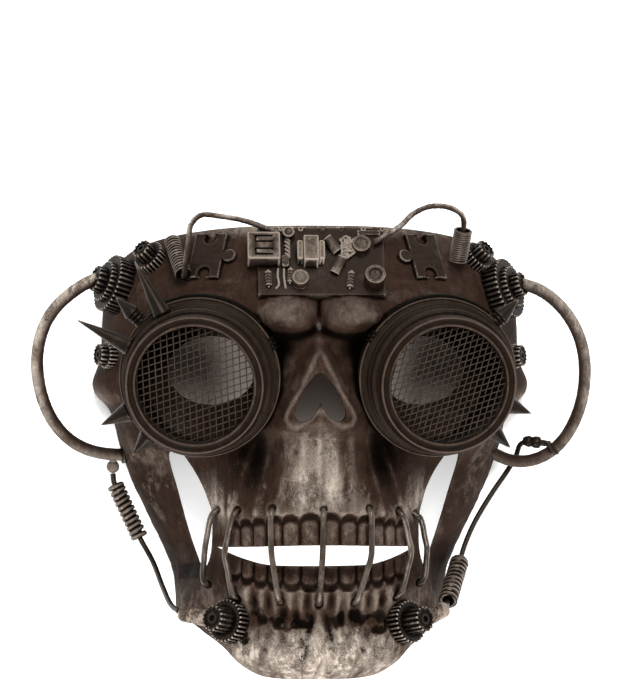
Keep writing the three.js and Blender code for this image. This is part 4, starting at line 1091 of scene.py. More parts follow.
spike_paint = painted(
    "spike_paint", (4, 2, 1), (15, 9, 6), (100, 87, 77), edge_rub=0.6, patches=0.4, bump=0.25,
    gloss=0.1, rough=0.7,
)
for name, (side, angle, base, long, radius, level, stub) in SPIKES.items():
    away = np.array([math.cos(math.radians(angle)), math.sin(math.radians(angle)), 0])
    spike = turned(spike_profile(long, radius, stub), SPIKE_SIDES)
    spike = on_goggle(placed(spike, away * base + np.array([0, 0, level]), away, (0, 0, 1)), side)
    solid_piece(f"spike_{name}", "cone", spike, spike_paint, reach=0.9)


# Gears
# Stacks of toothed plastic wheels moulded on the temples, brow, cheeks and jaw, painted near black with
# their tooth tips and faces rubbed to a dull metal grey.
LIFT = 0.7
SEAT = 0.3
# Each gear: across, up, and the radius, thickness and number of teeth of its wheels from the bone out
GEARS = {
    "temple_left": (-87, 77.5, [(13, 5, 36), (9.2, 2.5, 26), (5.9, 4, 15)]),
    "temple_right": (83, 75.5, [(13.6, 5, 36), (9.2, 2.5, 26), (5.4, 4, 15)]),
    "brow_left": (-71.8, 89, [(7.3, 3, 24), (4.5, 5, 13)]),
    "brow_right": (71.5, 89.5, [(7, 3, 24), (4.6, 4.5, 13)]),
    "cheek_left": (-90, 46.5, [(6, 3, 20), (4.8, 3.4, 14)]),
    "cheek_right": (88.5, 46, [(5.6, 3, 20), (4.8, 3, 14)]),
    "jaw_left": (-37.5, -69, [(9.2, 4.5, 28), (5.5, 8.5, 15)]),
    "jaw_right": (37.5, -70, [(9.2, 4.5, 28), (5.5, 8.5, 15)]),
}
TOOTH_DEPTH = {"most": 1.25, "share": 0.17}
WHEEL = {"overlap": 0.6, "dish": 0.5, "hub": 0.1, "bore": 1.2, "root_sunk": 0.4, "root_reach": 8.0}


def tooth_outline(radius, count, inset=0.0):
    root = radius - min(TOOTH_DEPTH["most"], radius * TOOTH_DEPTH["share"])
    points = []
    for i in range(count):
        for share, reach in ((-0.32, root), (-0.15, radius), (0.15, radius), (0.32, root)):
            turn = 2 * np.pi * (i + share) / count
            points.append(((reach - inset) * math.cos(turn), (reach - inset) * math.sin(turn)))
    return np.array(points)


def at_height(outline, height):
    return np.column_stack([outline, np.full(len(outline), height)])


def wheel_body(radius, thick, teeth_count, low, last, origin, axis):
    sides = 4 * teeth_count
    top = low + thick
    hub, bore = top - WHEEL["hub"], top - WHEEL["bore"]
    plan = tooth_outline(radius, teeth_count)
    loops = [at_height(plan, height) for height in (low, top - 0.75, top - 0.35)]
    loops += [at_height(tooth_outline(radius, teeth_count, inset), top) for inset in (0.3, 0.75)]
    profile = [(0.72, top), (0.68, top - WHEEL["dish"]), (0.45, top - WHEEL["dish"]), (0.41, hub)]
    if last:
        profile += [(0.26, hub), (0.22, bore)]
    profile.append((0, bore if last else hub))
    loops += [ring(radius * share, height, sides) for share, height in profile]
    loops = [stood(loop, origin, axis) for loop in loops]
    if low > 0:
        return loft([stood(ring(0, low, sides), origin, axis), *loops])
    root = dropped(loops[0], axis, WHEEL["root_sunk"], WHEEL["root_reach"])
    return loft([root.mean(axis=0), root, *loops])


gear_paint = painted(
    "gear_paint", (2, 1, 1), (17, 11, 8), (146, 135, 124), edge_rub=0.7, patches=0.4, bump=0.3, metal=0.25,
)
gear_faces = {}
for name, (x, y, wheels) in GEARS.items():
    gear_seat, gear_axis = skin(x, y, LIFT)
    low = 0
    parts = []
    for k, (radius, thick, teeth_count) in enumerate(wheels):
        overlap = WHEEL["overlap"] if k else 0
        last = k == len(wheels) - 1
        wheel = (radius, thick + overlap, teeth_count, low - overlap, last)
        parts.append(wheel_body(*wheel, gear_seat, gear_axis))
        low += thick
    gear_faces[name] = (gear_seat + (low + SEAT) * gear_axis, gear_axis)
    solid_piece(f"gear_{name}", "stack", joined(*parts), gear_paint, reach=0.9, sharp=35)


# Hoses
# Two stiff plastic hoses loop from the temple gears down to the cheeks, fixed at both ends. They are
# painted brown and rubbed pale in long patches on the outside of the bend, where the pale is also a
# painted highlight, stronger towards the top.
HOSE_RADIUS = 2.8
HOSE_ENTRY = (-1.5, 1.2)
HOSE_SPACING = 1.2
HOSE_COLLAR = {"gap": 0.5, "wire": 0.8}
HOSE_PALE_RISE = (5, 55)
HOSE_SWING = 0.05
HOSE_SEED = 11
HOSE_EASE = 80
HOSE_SIDES = 24
HOSE_WEAR_AND_HIGHLIGHT = {"left": 0.62, "right": 0.44}
HOSE_MIDDLE = (88, 38, -10)
HOSE_ROUTES = {
    "left": [
        (-106, 75.5, 36), (-112.5, 71.2, 33), (-118, 65.3, 31), (-121.8, 56.6, 29.5), (-123.8, 47.2, 28),
        (-123.2, 35.5, 26), (-121, 25.7, 23.5), (-116.7, 16, 20), (-110.1, 8.2, 17), (-101.2, 3, 13.5),
        (-93.5, 1.3, 12), (-84, 1.4, 10),
    ],
    "right": [
        (106.2, 73.3, 36), (111.8, 69.1, 34), (118.1, 60.6, 31), (122.7, 50.8, 28), (124, 39.5, 25.5),
        (123.6, 27.8, 23), (120.9, 18, 20), (116.5, 8.5, 16.5), (111, 2, 13.5), (101.7, -2.6, 12),
        (93.9, -3.2, 12), (84.5, 0.6, 14.5), (77.5, 5.5, 19),
    ],
}
PALE_MASKS = ("raised", "pale", "dark")


# A smooth curve through all the points, with even steps
def threaded(points, spacing):
    points = [np.asarray(p, float) for p in points]
    points = [2 * points[0] - points[1], *points, 2 * points[-1] - points[-2]]
    dense = []
    for p0, p1, p2, p3 in zip(points, points[1:], points[2:], points[3:]):
        t0 = 0.0
        t1 = t0 + math.sqrt(np.linalg.norm(p1 - p0))
        t2 = t1 + math.sqrt(np.linalg.norm(p2 - p1))
        t3 = t2 + math.sqrt(np.linalg.norm(p3 - p2))
        for t in np.linspace(t1, t2, 24, endpoint=False):
            a1 = (t1 - t) / (t1 - t0) * p0 + (t - t0) / (t1 - t0) * p1
            a2 = (t2 - t) / (t2 - t1) * p1 + (t - t1) / (t2 - t1) * p2
            a3 = (t3 - t) / (t3 - t2) * p2 + (t - t2) / (t3 - t2) * p3
            b1 = (t2 - t) / (t2 - t0) * a1 + (t - t0) / (t2 - t0) * a2
            b2 = (t3 - t) / (t3 - t1) * a2 + (t - t1) / (t3 - t1) * a3
            dense.append((t2 - t) / (t2 - t1) * b1 + (t - t1) / (t2 - t1) * b2)
    dense = np.array([*dense, points[-2]])
    gone = np.concatenate([[0], np.cumsum(np.linalg.norm(np.diff(dense, axis=0), axis=1))])
    at = np.linspace(0, gone[-1], max(int(gone[-1] / spacing), 4) + 1)
    return np.stack([np.interp(at, gone, dense[:, k]) for k in range(3)], axis=-1)


def uneven(radius, swing, path, seed):
    wander = random.Random(seed)
    return radius + np.array([wander.uniform(-swing, swing) for _ in path])


def collar(origin, axis, radius, wire):
    turns = np.linspace(0, 2 * np.pi, 25)
    path = np.stack([radius * np.cos(turns), radius * np.sin(turns), np.zeros(25)], axis=-1)
    return tube(stood(path, origin, axis, (0, 0.3, 1)), wire, 10)


# Pale on the faces turned away from a middle point, more towards the top: rubbed wear, and a painted highlight
# where light falls on the outside of the bend.
def rub_and_light_outside(piece, middle, strength, low, high):
    points = mesh_points(piece.data)
    away = unit(points - np.asarray(middle, float))
    facing = np.einsum("ij,ij->i", mesh_normals(piece.data), away)
    rise_share = 0.3 + 0.7 * smooth_step(low, high, points[:, 1])
    keep_mask(piece.data, "pale", strength * rise_share * np.clip(facing, 0, 1) ** 2)


hose_paint = painted(
    "hose_paint", (4, 2, 1), (34, 22, 15), (166, 154, 142), edge_rub=0.5, patches=0.8, bump=0.3,
    masks=PALE_MASKS,
)
for word, side in SIDES.items():
    hose_start, hose_axis = gear_faces[f"temple_{word}"]
    entry = [hose_start + depth * hose_axis for depth in HOSE_ENTRY]
    hose_path = threaded([*entry, *HOSE_ROUTES[word]], HOSE_SPACING)
    for _ in range(HOSE_EASE):
        hose_path[1:-1] = (hose_path[:-2] + 2 * hose_path[1:-1] + hose_path[2:]) / 4
    hose_body = tube(hose_path, uneven(HOSE_RADIUS, HOSE_SWING, hose_path, HOSE_SEED + side), HOSE_SIDES)
    if word == "left":
        end_axis = hose_path[-1] - hose_path[-5]
        end_collar = collar(hose_path[-2], end_axis, HOSE_RADIUS + HOSE_COLLAR["gap"], HOSE_COLLAR["wire"])
        hose_body = joined(hose_body, end_collar)
    hose = solid_piece(f"hose_{word}", "tube", hose_body, hose_paint, reach=0.3)
    rub_and_light_outside(hose, (side * HOSE_MIDDLE[0], *HOSE_MIDDLE[1:]), HOSE_WEAR_AND_HIGHLIGHT[word], *HOSE_PALE_RISE)


# Coils and their leads
# Two coils of wound wire, painted near black, are fixed on the forehead. A thin, stiff wire leaves each
# one and arches over the top edge to the circuit board.
# Each coil: start, end, radius, turns, radius of its wire
COILS = {
    "left": ((-63, 96.5, 49), (-58.4, 82, 65.5), 3.7, 12, 0.72),
    "right": ((62, 88.5, 57), (63.7, 101, 62), 4.1, 13, 0.5),
}
LEADS = {
    "left": [
        (-57, 90, 72.5), (-56, 96, 71), (-55, 103, 66), (-50.5, 107.5, 62), (-42, 107, 62), (-31, 104.8, 64),
    ],
    "right": [
        (63, 107.5, 65), (57.5, 111, 65), (49, 111.5, 63.5), (42, 108.5, 63), (36, 103, 65), (30, 99, 68),
    ],
}
LEAD_ENDS = {"left": (-18.4, 12.2, 5), "right": (23, 7.6, 5.2)}
LEAD_SEEDS = {"left": 21, "right": 22}
LEAD_SWING = 0.09
LEAD_MIDDLE = (0, 60, 40)
LEAD_WEAR_AND_HIGHLIGHT = 0.8
WIRE_RADIUS = 1.2
WIRE_SIDES = 14
BOARD = {"x": 1.2, "y": 86, "wide": 55, "tall": 33, "thick": 2.2, "lift": 1}
board_skin, board_axis = skin(0, BOARD["y"])
board_place = np.array([BOARD["x"], *board_skin[1:]]) + BOARD["lift"] * board_axis


def on_board(body):
    return placed(body, board_place, board_axis)


def winding(start, end, radius, turns, wire):
    start, along = np.asarray(start, float), np.subtract(end, start)
    length = np.linalg.norm(along)
    t = np.linspace(0, 1, turns * 22 + 1)
    angle = 2 * np.pi * turns * t
    reach = radius - wire
    path = np.stack([reach * np.cos(angle), reach * np.sin(angle), wire + (length - 2 * wire) * t], axis=-1)
    inner, outer = reach - 0.9 * wire, reach - 0.45 * wire
    sleeve = [(inner, 0.2), (outer, 0.2), (outer, length - 0.2), (inner, length - 0.2), (inner, 0.2)]
    parts = [tube(stood(path, start, along), wire, 8), placed(turned(sleeve, 28), start, along)]
    return joined(*parts, *[collar(place, along, reach, wire) for place in (start, end)])


# The outward faces of the turns are rubbed pale; the faces turned towards the axis, between the turns, get
# painted shade.
def rub_and_shade_turns(piece, start, end):
    along = unit(np.subtract(end, start))
    away = mesh_points(piece.data) - np.asarray(start, float)
    away -= (away @ along)[:, None] * along
    away /= np.maximum(np.linalg.norm(away, axis=1), 0.01)[:, None]
    facing = np.einsum("ij,ij->i", mesh_normals(piece.data), away)
    keep_mask(piece.data, "raised", 1.7 * facing - 1.0)


coil_paint = painted(
    "coil_paint", (2, 1, 1), (26, 17, 12), (118, 105, 94), edge_rub=0.9, patches=0.5, bump=0.25,
    gloss=0.3, rough=0.7,
)
lead_paint = painted(
    "lead_paint", (8, 5, 4), (42, 30, 23), (170, 159, 148), edge_rub=0.5, patches=1.2, bump=0.4,
    masks=PALE_MASKS,
)
for word, coil in COILS.items():
    start, end = coil[:2]
    rub_and_shade_turns(solid_piece(f"coil_{word}", "winding", winding(*coil), coil_paint), start, end)
for word, route in LEADS.items():
    start, end = (np.asarray(p, float) for p in COILS[word][:2])
    lead_end = on_board(([LEAD_ENDS[word]], None))[0][0]
    stops = [(start + end) / 2, end, end + 2 * unit(end - start), *route, lead_end]
    lead_path = threaded(stops, 0.8)
    lead_body = tube(lead_path, uneven(WIRE_RADIUS, LEAD_SWING, lead_path, LEAD_SEEDS[word]), WIRE_SIDES)
    lead = solid_piece(f"lead_{word}", "wire", lead_body, lead_paint, reach=0.2)
    # The pale on the outside of the arch is rubbed wear and a painted highlight.
    rub_and_light_outside(lead, LEAD_MIDDLE, LEAD_WEAR_AND_HIGHLIGHT, 92, 106)


# Circuit board
# A thin plate moulded on the forehead, with a socket block, a small transformer, round parts, ribbed
# resistors and loose wires on it, all painted over in the same brown and rubbed grey.
PART_LEVEL = BOARD["thick"] + SEAT
PLATE = {"corner": 0.8, "edge": 0.4, "spacing": 2, "sunk": 0.4, "reach": 14, "rings": 19}
# Leaning cans: foot, head, radius
LEANING_CANS = [((7.2, 4.2, 3.4), (2.4, 10, 5.4), 2.2), ((5.6, -6, 3.0), (9.2, 0.4, 5.8), 2.1)]
# Resistors: across, up, length, radius, level, turn
RESISTORS = [(12.4, -9.5, 9, 1.5, 3.2, 1.45), (-23, -9, 8.5, 1.4, 3.1, 1.6), (-13.6, -7.5, 8, 1.2, 3.0, 1.5)]
RESISTOR = {"ribs": 5, "cap": 0.7, "pin": 0.3, "waist": 0.75, "sides": 14}
PLATE_WIRES = [
    [(-18.8, -4, 2.6), (-19, -8, 3.4), (-18.6, -12, 3.0), (-19.8, -13.4, 2.2)],
    [(-16.2, -4, 2.6), (-16.3, -8, 3.3), (-15.9, -12, 3.0), (-15.6, -13.2, 2.2)],
]
# Small blocks: across, up, width, height, foot, top, corner
SMALL_BLOCKS = [(-15.6, -1.2, 3, 5.4, 2, 5.4, 1.2), (21, 13.5, 10, 2.2, 2, 3.6, 0.6)]
TANGLE = {
    "seed": 5, "wires": 9, "stops": 6, "x": (8, 14.5), "y": (1, 11), "z": (2.4, 5.0), "radius": (0.35, 0.55),
}
BEADS = {"count": 7, "from": -27, "pitch": 9, "swing": (-1, 1), "y": 15.2, "radius": (0.7, 1.2), "top": 3.6}
TWIST = {"x": -14.6, "y": 1, "long": 11, "level": 3.6, "reach": 0.8, "turn": 18, "wire": 0.6}
CONNECTOR = {"x": -25, "y": 3.6, "wide": 14, "tall": 13, "high": 8, "slot_deep": 4.2, "slot_past": 2}
# Slots of one socket: across, up, width, height
SLOTS = [(0.2, 1.35, 7.2, 0.9), (0.2, -1.35, 7.2, 0.9), (-3.5, 0, 0.9, 3.4)]
SOCKET_ROWS = (-3.1, 3.1)
TRANSFORMER = {"x": -4.6, "y": 2.6}
# Blocks of the transformer: across, width, height, top, corner, edge
TRANSFORMER_BLOCKS = [
    (0, 6.4, 12, 8, 0.6, 0.5), (-4.7, 2.6, 9, 6, 0.9, 0.5), (-3.6, 1.6, 7, 4.4, 0.3, 0.2),
    (4.7, 2.6, 9, 6, 0.9, 0.5), (3.6, 1.6, 7, 4.4, 0.3, 0.2),
]
# Round parts: across, up, radius, height, hollow
ROUND_PARTS = {
    "board_stud": (-9.4, -10.2, 3.6, 5, 0.25),
    "board_capacitor": (22.6, -10.3, 4.4, 8, 0.9),
    "board_terminal_left": (-14.1, 12, 2.6, 4.5, 0.3),
    "board_terminal_right": (17.4, 6.6, 3.9, 4.5, 0.3),
}
TOP_WEAR_AND_HIGHLIGHT = {"plate": 0.08, "connector": 0.22, "transformer": 0.2, "round": 0.22}


def rounded_rectangle(wide, tall, corner, per_corner=5):
    points = []
    gaps = [min(0.4, (side - 2 * corner) / 3) for side in (tall, wide)]
    for k, (a, b) in enumerate(((1, 1), (-1, 1), (-1, -1), (1, -1))):
        turns = k * np.pi / 2 + np.linspace(0, np.pi / 2, per_corner)
        curve = corner * np.stack([np.cos(turns), np.sin(turns)], axis=-1)
        curve += np.array([a * (wide / 2 - corner), b * (tall / 2 - corner)])
        ahead = np.stack([-np.sin(turns), np.cos(turns)], axis=-1)
        points += [curve[0] - gaps[k % 2] * ahead[0], *curve, curve[-1] + gaps[1 - k % 2] * ahead[-1]]
    return np.array(points)


def denser(outline, spacing):
    points = []
    for start, end in zip(outline, np.roll(outline, -1, axis=0)):
        count = max(int(np.linalg.norm(end - start) / spacing), 1)
        points += [start + (end - start) * t for t in np.arange(count) / count]
    return np.array(points)


def moved(body, x, y):
    points, faces = body
    return points + np.array([x, y, 0]), faces


def block(x, y, wide, tall, low, high, corner=0.5, edge=0.35):
    plan = rounded_rectangle(wide, tall, corner)
    inner = rounded_rectangle(wide - 2 * edge, tall - 2 * edge, max(corner - edge, 0.1))
    far_in = rounded_rectangle(wide - 2 * edge - 0.7, tall - 2 * edge - 0.7, 0.1)
    loops = [at_height(plan, height) for height in (low, high - edge - 0.4, high - edge)]
    loops += [at_height(inner, high), at_height(far_in, high)]
    return moved(loft([(0, 0, low), *loops, (0, 0, high)]), x, y)


def can(x, y, radius, low, high, hollow=0.0, sides=36):
    profile = [(0, low), (radius, low), (radius, high - 0.4)]
    profile += [(radius - 0.12, high - 0.12), (radius - 0.4, high)]
    if hollow:
        profile += [(radius * 0.72, high), (radius * 0.66, high - 0.15), (radius * 0.64, high - hollow)]
        profile += [(radius * 0.3, high - hollow), (0, high - hollow)]
    else:
        profile += [(radius * 0.6, high), (0, high)]
    return moved(turned(supported(profile), sides), x, y)


def lying_resistor(x, y, long, radius, level, turn):
    cap, pin, waist = RESISTOR["cap"], RESISTOR["pin"] * radius, RESISTOR["waist"] * radius
    rib = (long - 2 * cap) / RESISTOR["ribs"]
    profile = [(0, 0), (pin, 0), (pin, cap)]
    for i in range(RESISTOR["ribs"]):
        at = cap + rib * i
        profile += [(waist, at), (radius, at + 0.2 * rib), (radius, at + 0.75 * rib), (waist, at + rib)]
    profile += [(pin, long - cap), (pin, long), (0, long)]
    body = turned([(r, height - long / 2) for r, height in profile], RESISTOR["sides"])
    return placed(body, (x, y, level), (math.cos(turn), math.sin(turn), 0), (0, 0, 1))


def leaning_can(foot, head, radius):
    axis = np.subtract(head, foot)
    return placed(can(0, 0, radius, 0, float(np.linalg.norm(axis)), 0.3), foot, axis, (0, 0, 1))


def small_wire(stops, radius, spacing=0.5):
    return tube(threaded(stops, spacing), radius, 8)


# The tops of the taller parts turn pale: rubbed wear, and a painted highlight where the light falls on them.
def rub_and_light_top(piece, strength):
    facing = np.clip(mesh_normals(piece.data) @ board_axis, 0, 1)
    level = (mesh_points(piece.data) - board_place) @ board_axis
    keep_mask(piece.data, "pale", strength * facing**2 * smooth_step(2.6, 5.5, level))


def plate_body():
    outline = rounded_rectangle(BOARD["wide"], BOARD["tall"], PLATE["corner"], 4)
    outline = denser(outline, PLATE["spacing"])
    side_top = at_height(outline, BOARD["thick"] - PLATE["edge"])
    shares = [0.987, *np.linspace(0.95, 0.05, PLATE["rings"])]
    face = [at_height(outline * share, BOARD["thick"]) for share in shares]
    loops = [on_board((loop, None))[0] for loop in (side_top, *face, [(0, 0, BOARD["thick"])])]
    foot = dropped(loops[0], board_axis, PLATE["sunk"], PLATE["reach"])
    return loft([foot.mean(axis=0), foot, *loops])


board_paint = painted(
    "board_paint", (2, 1, 1), (29, 19, 13), (142, 130, 118), edge_rub=0.8, patches=0.9, bump=0.5,
    gloss=0.08, rough=0.85, masks=PALE_MASKS,
)
small_parts = [leaning_can(*row) for row in LEANING_CANS]
small_parts += [lying_resistor(*row) for row in RESISTORS]
small_parts += [small_wire(stops, 0.5) for stops in PLATE_WIRES]
small_parts += [block(*row) for row in SMALL_BLOCKS]
tangle = random.Random(TANGLE["seed"])
for _ in range(TANGLE["wires"]):
    stops = [[tangle.uniform(*TANGLE[axis]) for axis in "xyz"] for _ in range(TANGLE["stops"])]
    small_parts.append(small_wire(stops, tangle.uniform(*TANGLE["radius"]), 0.6))
for k in range(BEADS["count"]):
    bead_x = BEADS["from"] + BEADS["pitch"] * k + tangle.uniform(*BEADS["swing"])
    small_parts.append(can(bead_x, BEADS["y"], tangle.uniform(*BEADS["radius"]), 2, BEADS["top"], 0, 14))
twist_t = np.linspace(0, 1, 60)
for phase in (0, np.pi):
    angle = TWIST["turn"] * twist_t + phase
    twist_x = TWIST["x"] + TWIST["reach"] * np.cos(angle)
    twist_z = TWIST["level"] + TWIST["reach"] * np.sin(angle)
    twist = np.stack([twist_x, TWIST["y"] + TWIST["long"] * twist_t, twist_z], axis=-1)
    small_parts.append(tube(twist, TWIST["wire"], 8))
whole_plate = joined(plate_body(), on_board(joined(*small_parts)))
plate = solid_piece("board_plate", "moulding", whole_plate, board_paint, reach=0.8, sharp=35)
rub_and_light_top(plate, TOP_WEAR_AND_HIGHLIGHT["plate"])

connector_top = PART_LEVEL + CONNECTOR["high"]
connector_block = block(
    CONNECTOR["x"], CONNECTOR["y"], CONNECTOR["wide"], CONNECTOR["tall"], PART_LEVEL, connector_top, 0.7, 0.5,
)
connector = raw_object("board_connector_block", *on_board(connector_block))
slot_top = connector_top + CONNECTOR["slot_past"]
slots = []
for row in SOCKET_ROWS:
    for slot_x, slot_y, wide, tall in SLOTS:
        x, y = CONNECTOR["x"] + slot_x, CONNECTOR["y"] + row + slot_y
        corners = [(x + a * wide / 2, y + b * tall / 2) for a, b in SQUARE]
        slot_body = prism(corners, slot_top - CONNECTOR["slot_deep"], slot_top)
        slots.append(raw_object("slot", *on_board(slot_body)))
cut_away(connector, slots)
mark_raised(connector.data, 1.6)
rub_and_light_top(connector, TOP_WEAR_AND_HIGHLIGHT["connector"])
finish_piece(connector, board_paint, "board_connector", sharp=35)

transformer_parts = []
for across, wide, tall, high, corner, edge in TRANSFORMER_BLOCKS:
    plan = (TRANSFORMER["x"] + across, TRANSFORMER["y"], wide, tall)
    transformer_parts.append(block(*plan, PART_LEVEL, PART_LEVEL + high, corner, edge))
transformer_body = on_board(joined(*transformer_parts))
transformer = solid_piece("board_transformer", "core", transformer_body, board_paint, 1.6, 35)
rub_and_light_top(transformer, TOP_WEAR_AND_HIGHLIGHT["transformer"])
for name, (x, y, radius, high, hollow_deep) in ROUND_PARTS.items():
    round_body = on_board(can(x, y, radius, PART_LEVEL, PART_LEVEL + high, hollow_deep))
    rub_and_light_top(solid_piece(name, "part", round_body, board_paint, 0.7, 35), TOP_WEAR_AND_HIGHLIGHT["round"])


# Jigsaw plates
# A thin plate in the shape of a jigsaw piece is moulded on each side of the forehead, knob inward,
# and painted like the circuit board.
JIGSAW = {
    "x": 47.5, "y": 89.5, "wide": 14.6, "tall": 23, "thick": 1.7, "edge": 0.4, "knob": 3.1, "neck": 1.6,
    "socket": 2.8, "spacing": 1.5, "sunk": 0.6, "reach": 20, "flat": 2.2,
}


def arc(middle, radius, start, end, count):
    turns = np.linspace(start, end, count)
    return [(middle[0] + radius * math.cos(t), middle[1] + radius * math.sin(t)) for t in turns]


def jigsaw_outline():
    a, b = JIGSAW["wide"] / 2, JIGSAW["tall"] / 2
    quarter = math.pi / 2
    knob, socket = JIGSAW["knob"], JIGSAW["socket"]
    neck = math.asin(JIGSAW["neck"] / knob)
    outline = [(-a, -b), *arc((0, -b + socket), socket, -quarter - neck, -5 * quarter + neck, 20)]
    outline += [(a, -b), *arc((a + knob * 0.86, 0), knob, math.pi + neck, 3 * math.pi - neck, 24)]
    outline += [(a, b), *arc((0, b - socket), socket, quarter - neck, -3 * quarter + neck, 20)]
    return np.array([*outline, (-a, b)])


def jigsaw_body(side):
    seat, axis = skin(side * JIGSAW["x"], JIGSAW["y"])
    dense = denser(-side * jigsaw_outline(), JIGSAW["spacing"])
    ahead = np.roll(dense, -1, axis=0) - np.roll(dense, 1, axis=0)
    inward = JIGSAW["edge"] * unit(np.stack([-ahead[:, 1], ahead[:, 0]], axis=-1))
    flat = dense + JIGSAW["flat"] * inward
    loops = [at_height(dense, JIGSAW["thick"] - JIGSAW["edge"])]
    loops += [at_height(outline, JIGSAW["thick"]) for outline in (dense + inward, flat)]
    loops = [stood(loop, seat, axis) for loop in loops]
    points, faces = loft([dropped(loops[0], axis, JIGSAW["sunk"], JIGSAW["reach"]), *loops])
    first = 3 * len(dense)
    for triangle in tessellate_polygon([[Vector((*p, 0)) for p in flat]]):
        faces.append(tuple(first + v for v in triangle))
    return points, faces


for word, side in SIDES.items():
    solid_piece(f"jigsaw_{word}", "plate", jigsaw_body(side), board_paint, reach=1.0, sharp=35)


# Jaw wires
# A thin, stiff painted wire hangs from each cheek, goes through a wound spring and ends in a moulded
# plug on the jaw gear. The left one hangs from a bead, the right one from a clip on the hose.
PLUG = {
    "radius": 3.5, "up": 6.5, "aside": 3, "groove": 0.5, "groove_at": 0.62, "groove_half": 0.02,
    "end_radius": 2.7, "end_from": 0.88, "sides": 26,
}
PLUG_ENDS = {"left": (-59.5, -65.5, 58), "right": (56.5, -64, 60)}
# Each spring: start, end, radius, turns, radius of its wire
JAW_SPRINGS = {
    "left": ((-88.6, -13, 12), (-78.2, -35, 14.5), 4.0, 9, 1.2),
    "right": ((67.4, -48, 17), (59.4, -62, 42.5), 4.4, 9, 1.2),
}
# Each lead: stops above the spring, stops below it, and its end from the plug's end
JAW_LEADS = {
    "left": ([(-90, -7.3, 10.6)], [(-72, -46, 20), (-67.5, -56, 34), (-63.5, -63, 49)], (-0.8, 0.6, -1.6)),
    "right": (
        [
            (99.5, 7.2, 11), (96.6, 5.6, 9), (95, 0.2, 6), (91.5, -6.2, 4.8), (83.5, -17.5, 6),
            (75.5, -30, 9), (71, -39, 12),
        ],
        [],
        (0.2, 0.5, -1.8),
    ),
}
BEAD = {"place": (-90, -4, 10), "axis": (0.1, 1, 0.1), "radius": 2.9, "sides": 32, "link": 1.6}
BEAD_ROUND = math.radians(80)
BEAD_LINK = [(-90, -3, 10.3), (-89.8, -0.4, 11), (-89.2, 1.8, 11.6)]
CLIP = {"from": (105.6, 6.5, 13), "to": (97.5, 7.4, 10.5), "sides": 26}
CLIP_HOOP = {"place": (110.5, 4.3, 14.6), "axis": (8.5, 9, 4), "gap": 0.5, "wire": 0.85}
CLIP_PROFILE = [
    (0, -4.2), (1.4, -4.2), (1.5, 0), (2.4, 0.4), (2.8, 1.2), (2.8, 3.0), (2.4, 3.8), (2.3, 4.6),
    (2.7, 5.2), (2.6, 6.2),
]
plug_paint = painted(
    "plug_paint", (8, 5, 4), (48, 34, 25), (166, 153, 140), edge_rub=0.8, patches=1.4, bump=0.5, pale=0.32,
)
wire_paint = painted(
    "wire_paint", (3, 2, 1), (18, 12, 8), (110, 98, 87), edge_rub=0.5, patches=0.5, bump=0.3,
    gloss=0.25, rough=0.7,
)
bead_paint = painted(
    "bead_paint", (7, 5, 3), (48, 34, 25), (158, 144, 130), edge_rub=0.6, patches=1.4, bump=0.4, pale=0.2,
)
for word, side in SIDES.items():
    gear_face, gear_axis = gear_faces[f"jaw_{word}"]
    aside = unit(np.array([side, 0, 0]) - side * gear_axis[0] * gear_axis)
    plug_start = gear_face - PLUG["up"] * gear_axis + PLUG["aside"] * aside
    plug_end = np.asarray(PLUG_ENDS[word], float)
    along = np.linspace(0, 1, 48)
    plug_path = plug_start + along[:, None] * (plug_end - plug_start)
    plug_radius = PLUG["radius"] - PLUG["groove"] * bell((along - PLUG["groove_at"]) / PLUG["groove_half"])
    near_end = np.clip((along - PLUG["end_from"]) / (1 - PLUG["end_from"]), 0, 1)
    plug_radius -= (PLUG["radius"] - PLUG["end_radius"]) * near_end**2
    plug = tube(plug_path, plug_radius, PLUG["sides"])
    solid_piece(f"jaw_plug_{word}", "boot", plug, plug_paint)
    start, end = (np.asarray(p, float) for p in JAW_SPRINGS[word][:2])
    spring = winding(*JAW_SPRINGS[word])
    rub_and_shade_turns(solid_piece(f"jaw_spring_{word}", "winding", spring, coil_paint), start, end)
    above, below, end_offset = JAW_LEADS[word]
    run = 2 * unit(end - start)
    stops = [*above, start - run, start, (start + end) / 2, end, end + run, *below, plug_end + end_offset]
    jaw_lead = tube(threaded(stops, 0.9), WIRE_RADIUS, WIRE_SIDES)
    solid_piece(f"jaw_lead_{word}", "wire", jaw_lead, wire_paint)
bead_side = arc((0, 0), BEAD["radius"], -BEAD_ROUND, BEAD_ROUND, 15)
bead_profile = [(0, -BEAD["radius"]), *bead_side, (0, BEAD["radius"])]
bead = placed(turned(bead_profile, BEAD["sides"]), BEAD["place"], BEAD["axis"], (0, 0, 1))
bead_link = tube(threaded(BEAD_LINK, 0.5), BEAD["link"], WIRE_SIDES)
solid_piece("jaw_bead_left", "ball", joined(bead, bead_link), bead_paint)
clip_axis = np.subtract(CLIP["to"], CLIP["from"])
clip_long = np.linalg.norm(clip_axis)
clip_profile = [*CLIP_PROFILE, (2.0, clip_long - 0.6), (1.3, clip_long), (0, clip_long)]
clip = placed(turned(clip_profile, CLIP["sides"]), CLIP["from"], clip_axis, (0, 0, 1))
clip_hoop = collar(CLIP_HOOP["place"], CLIP_HOOP["axis"], HOSE_RADIUS + CLIP_HOOP["gap"], CLIP_HOOP["wire"])
solid_piece("jaw_clip_right", "ferrule", joined(clip, clip_hoop), spike_paint)


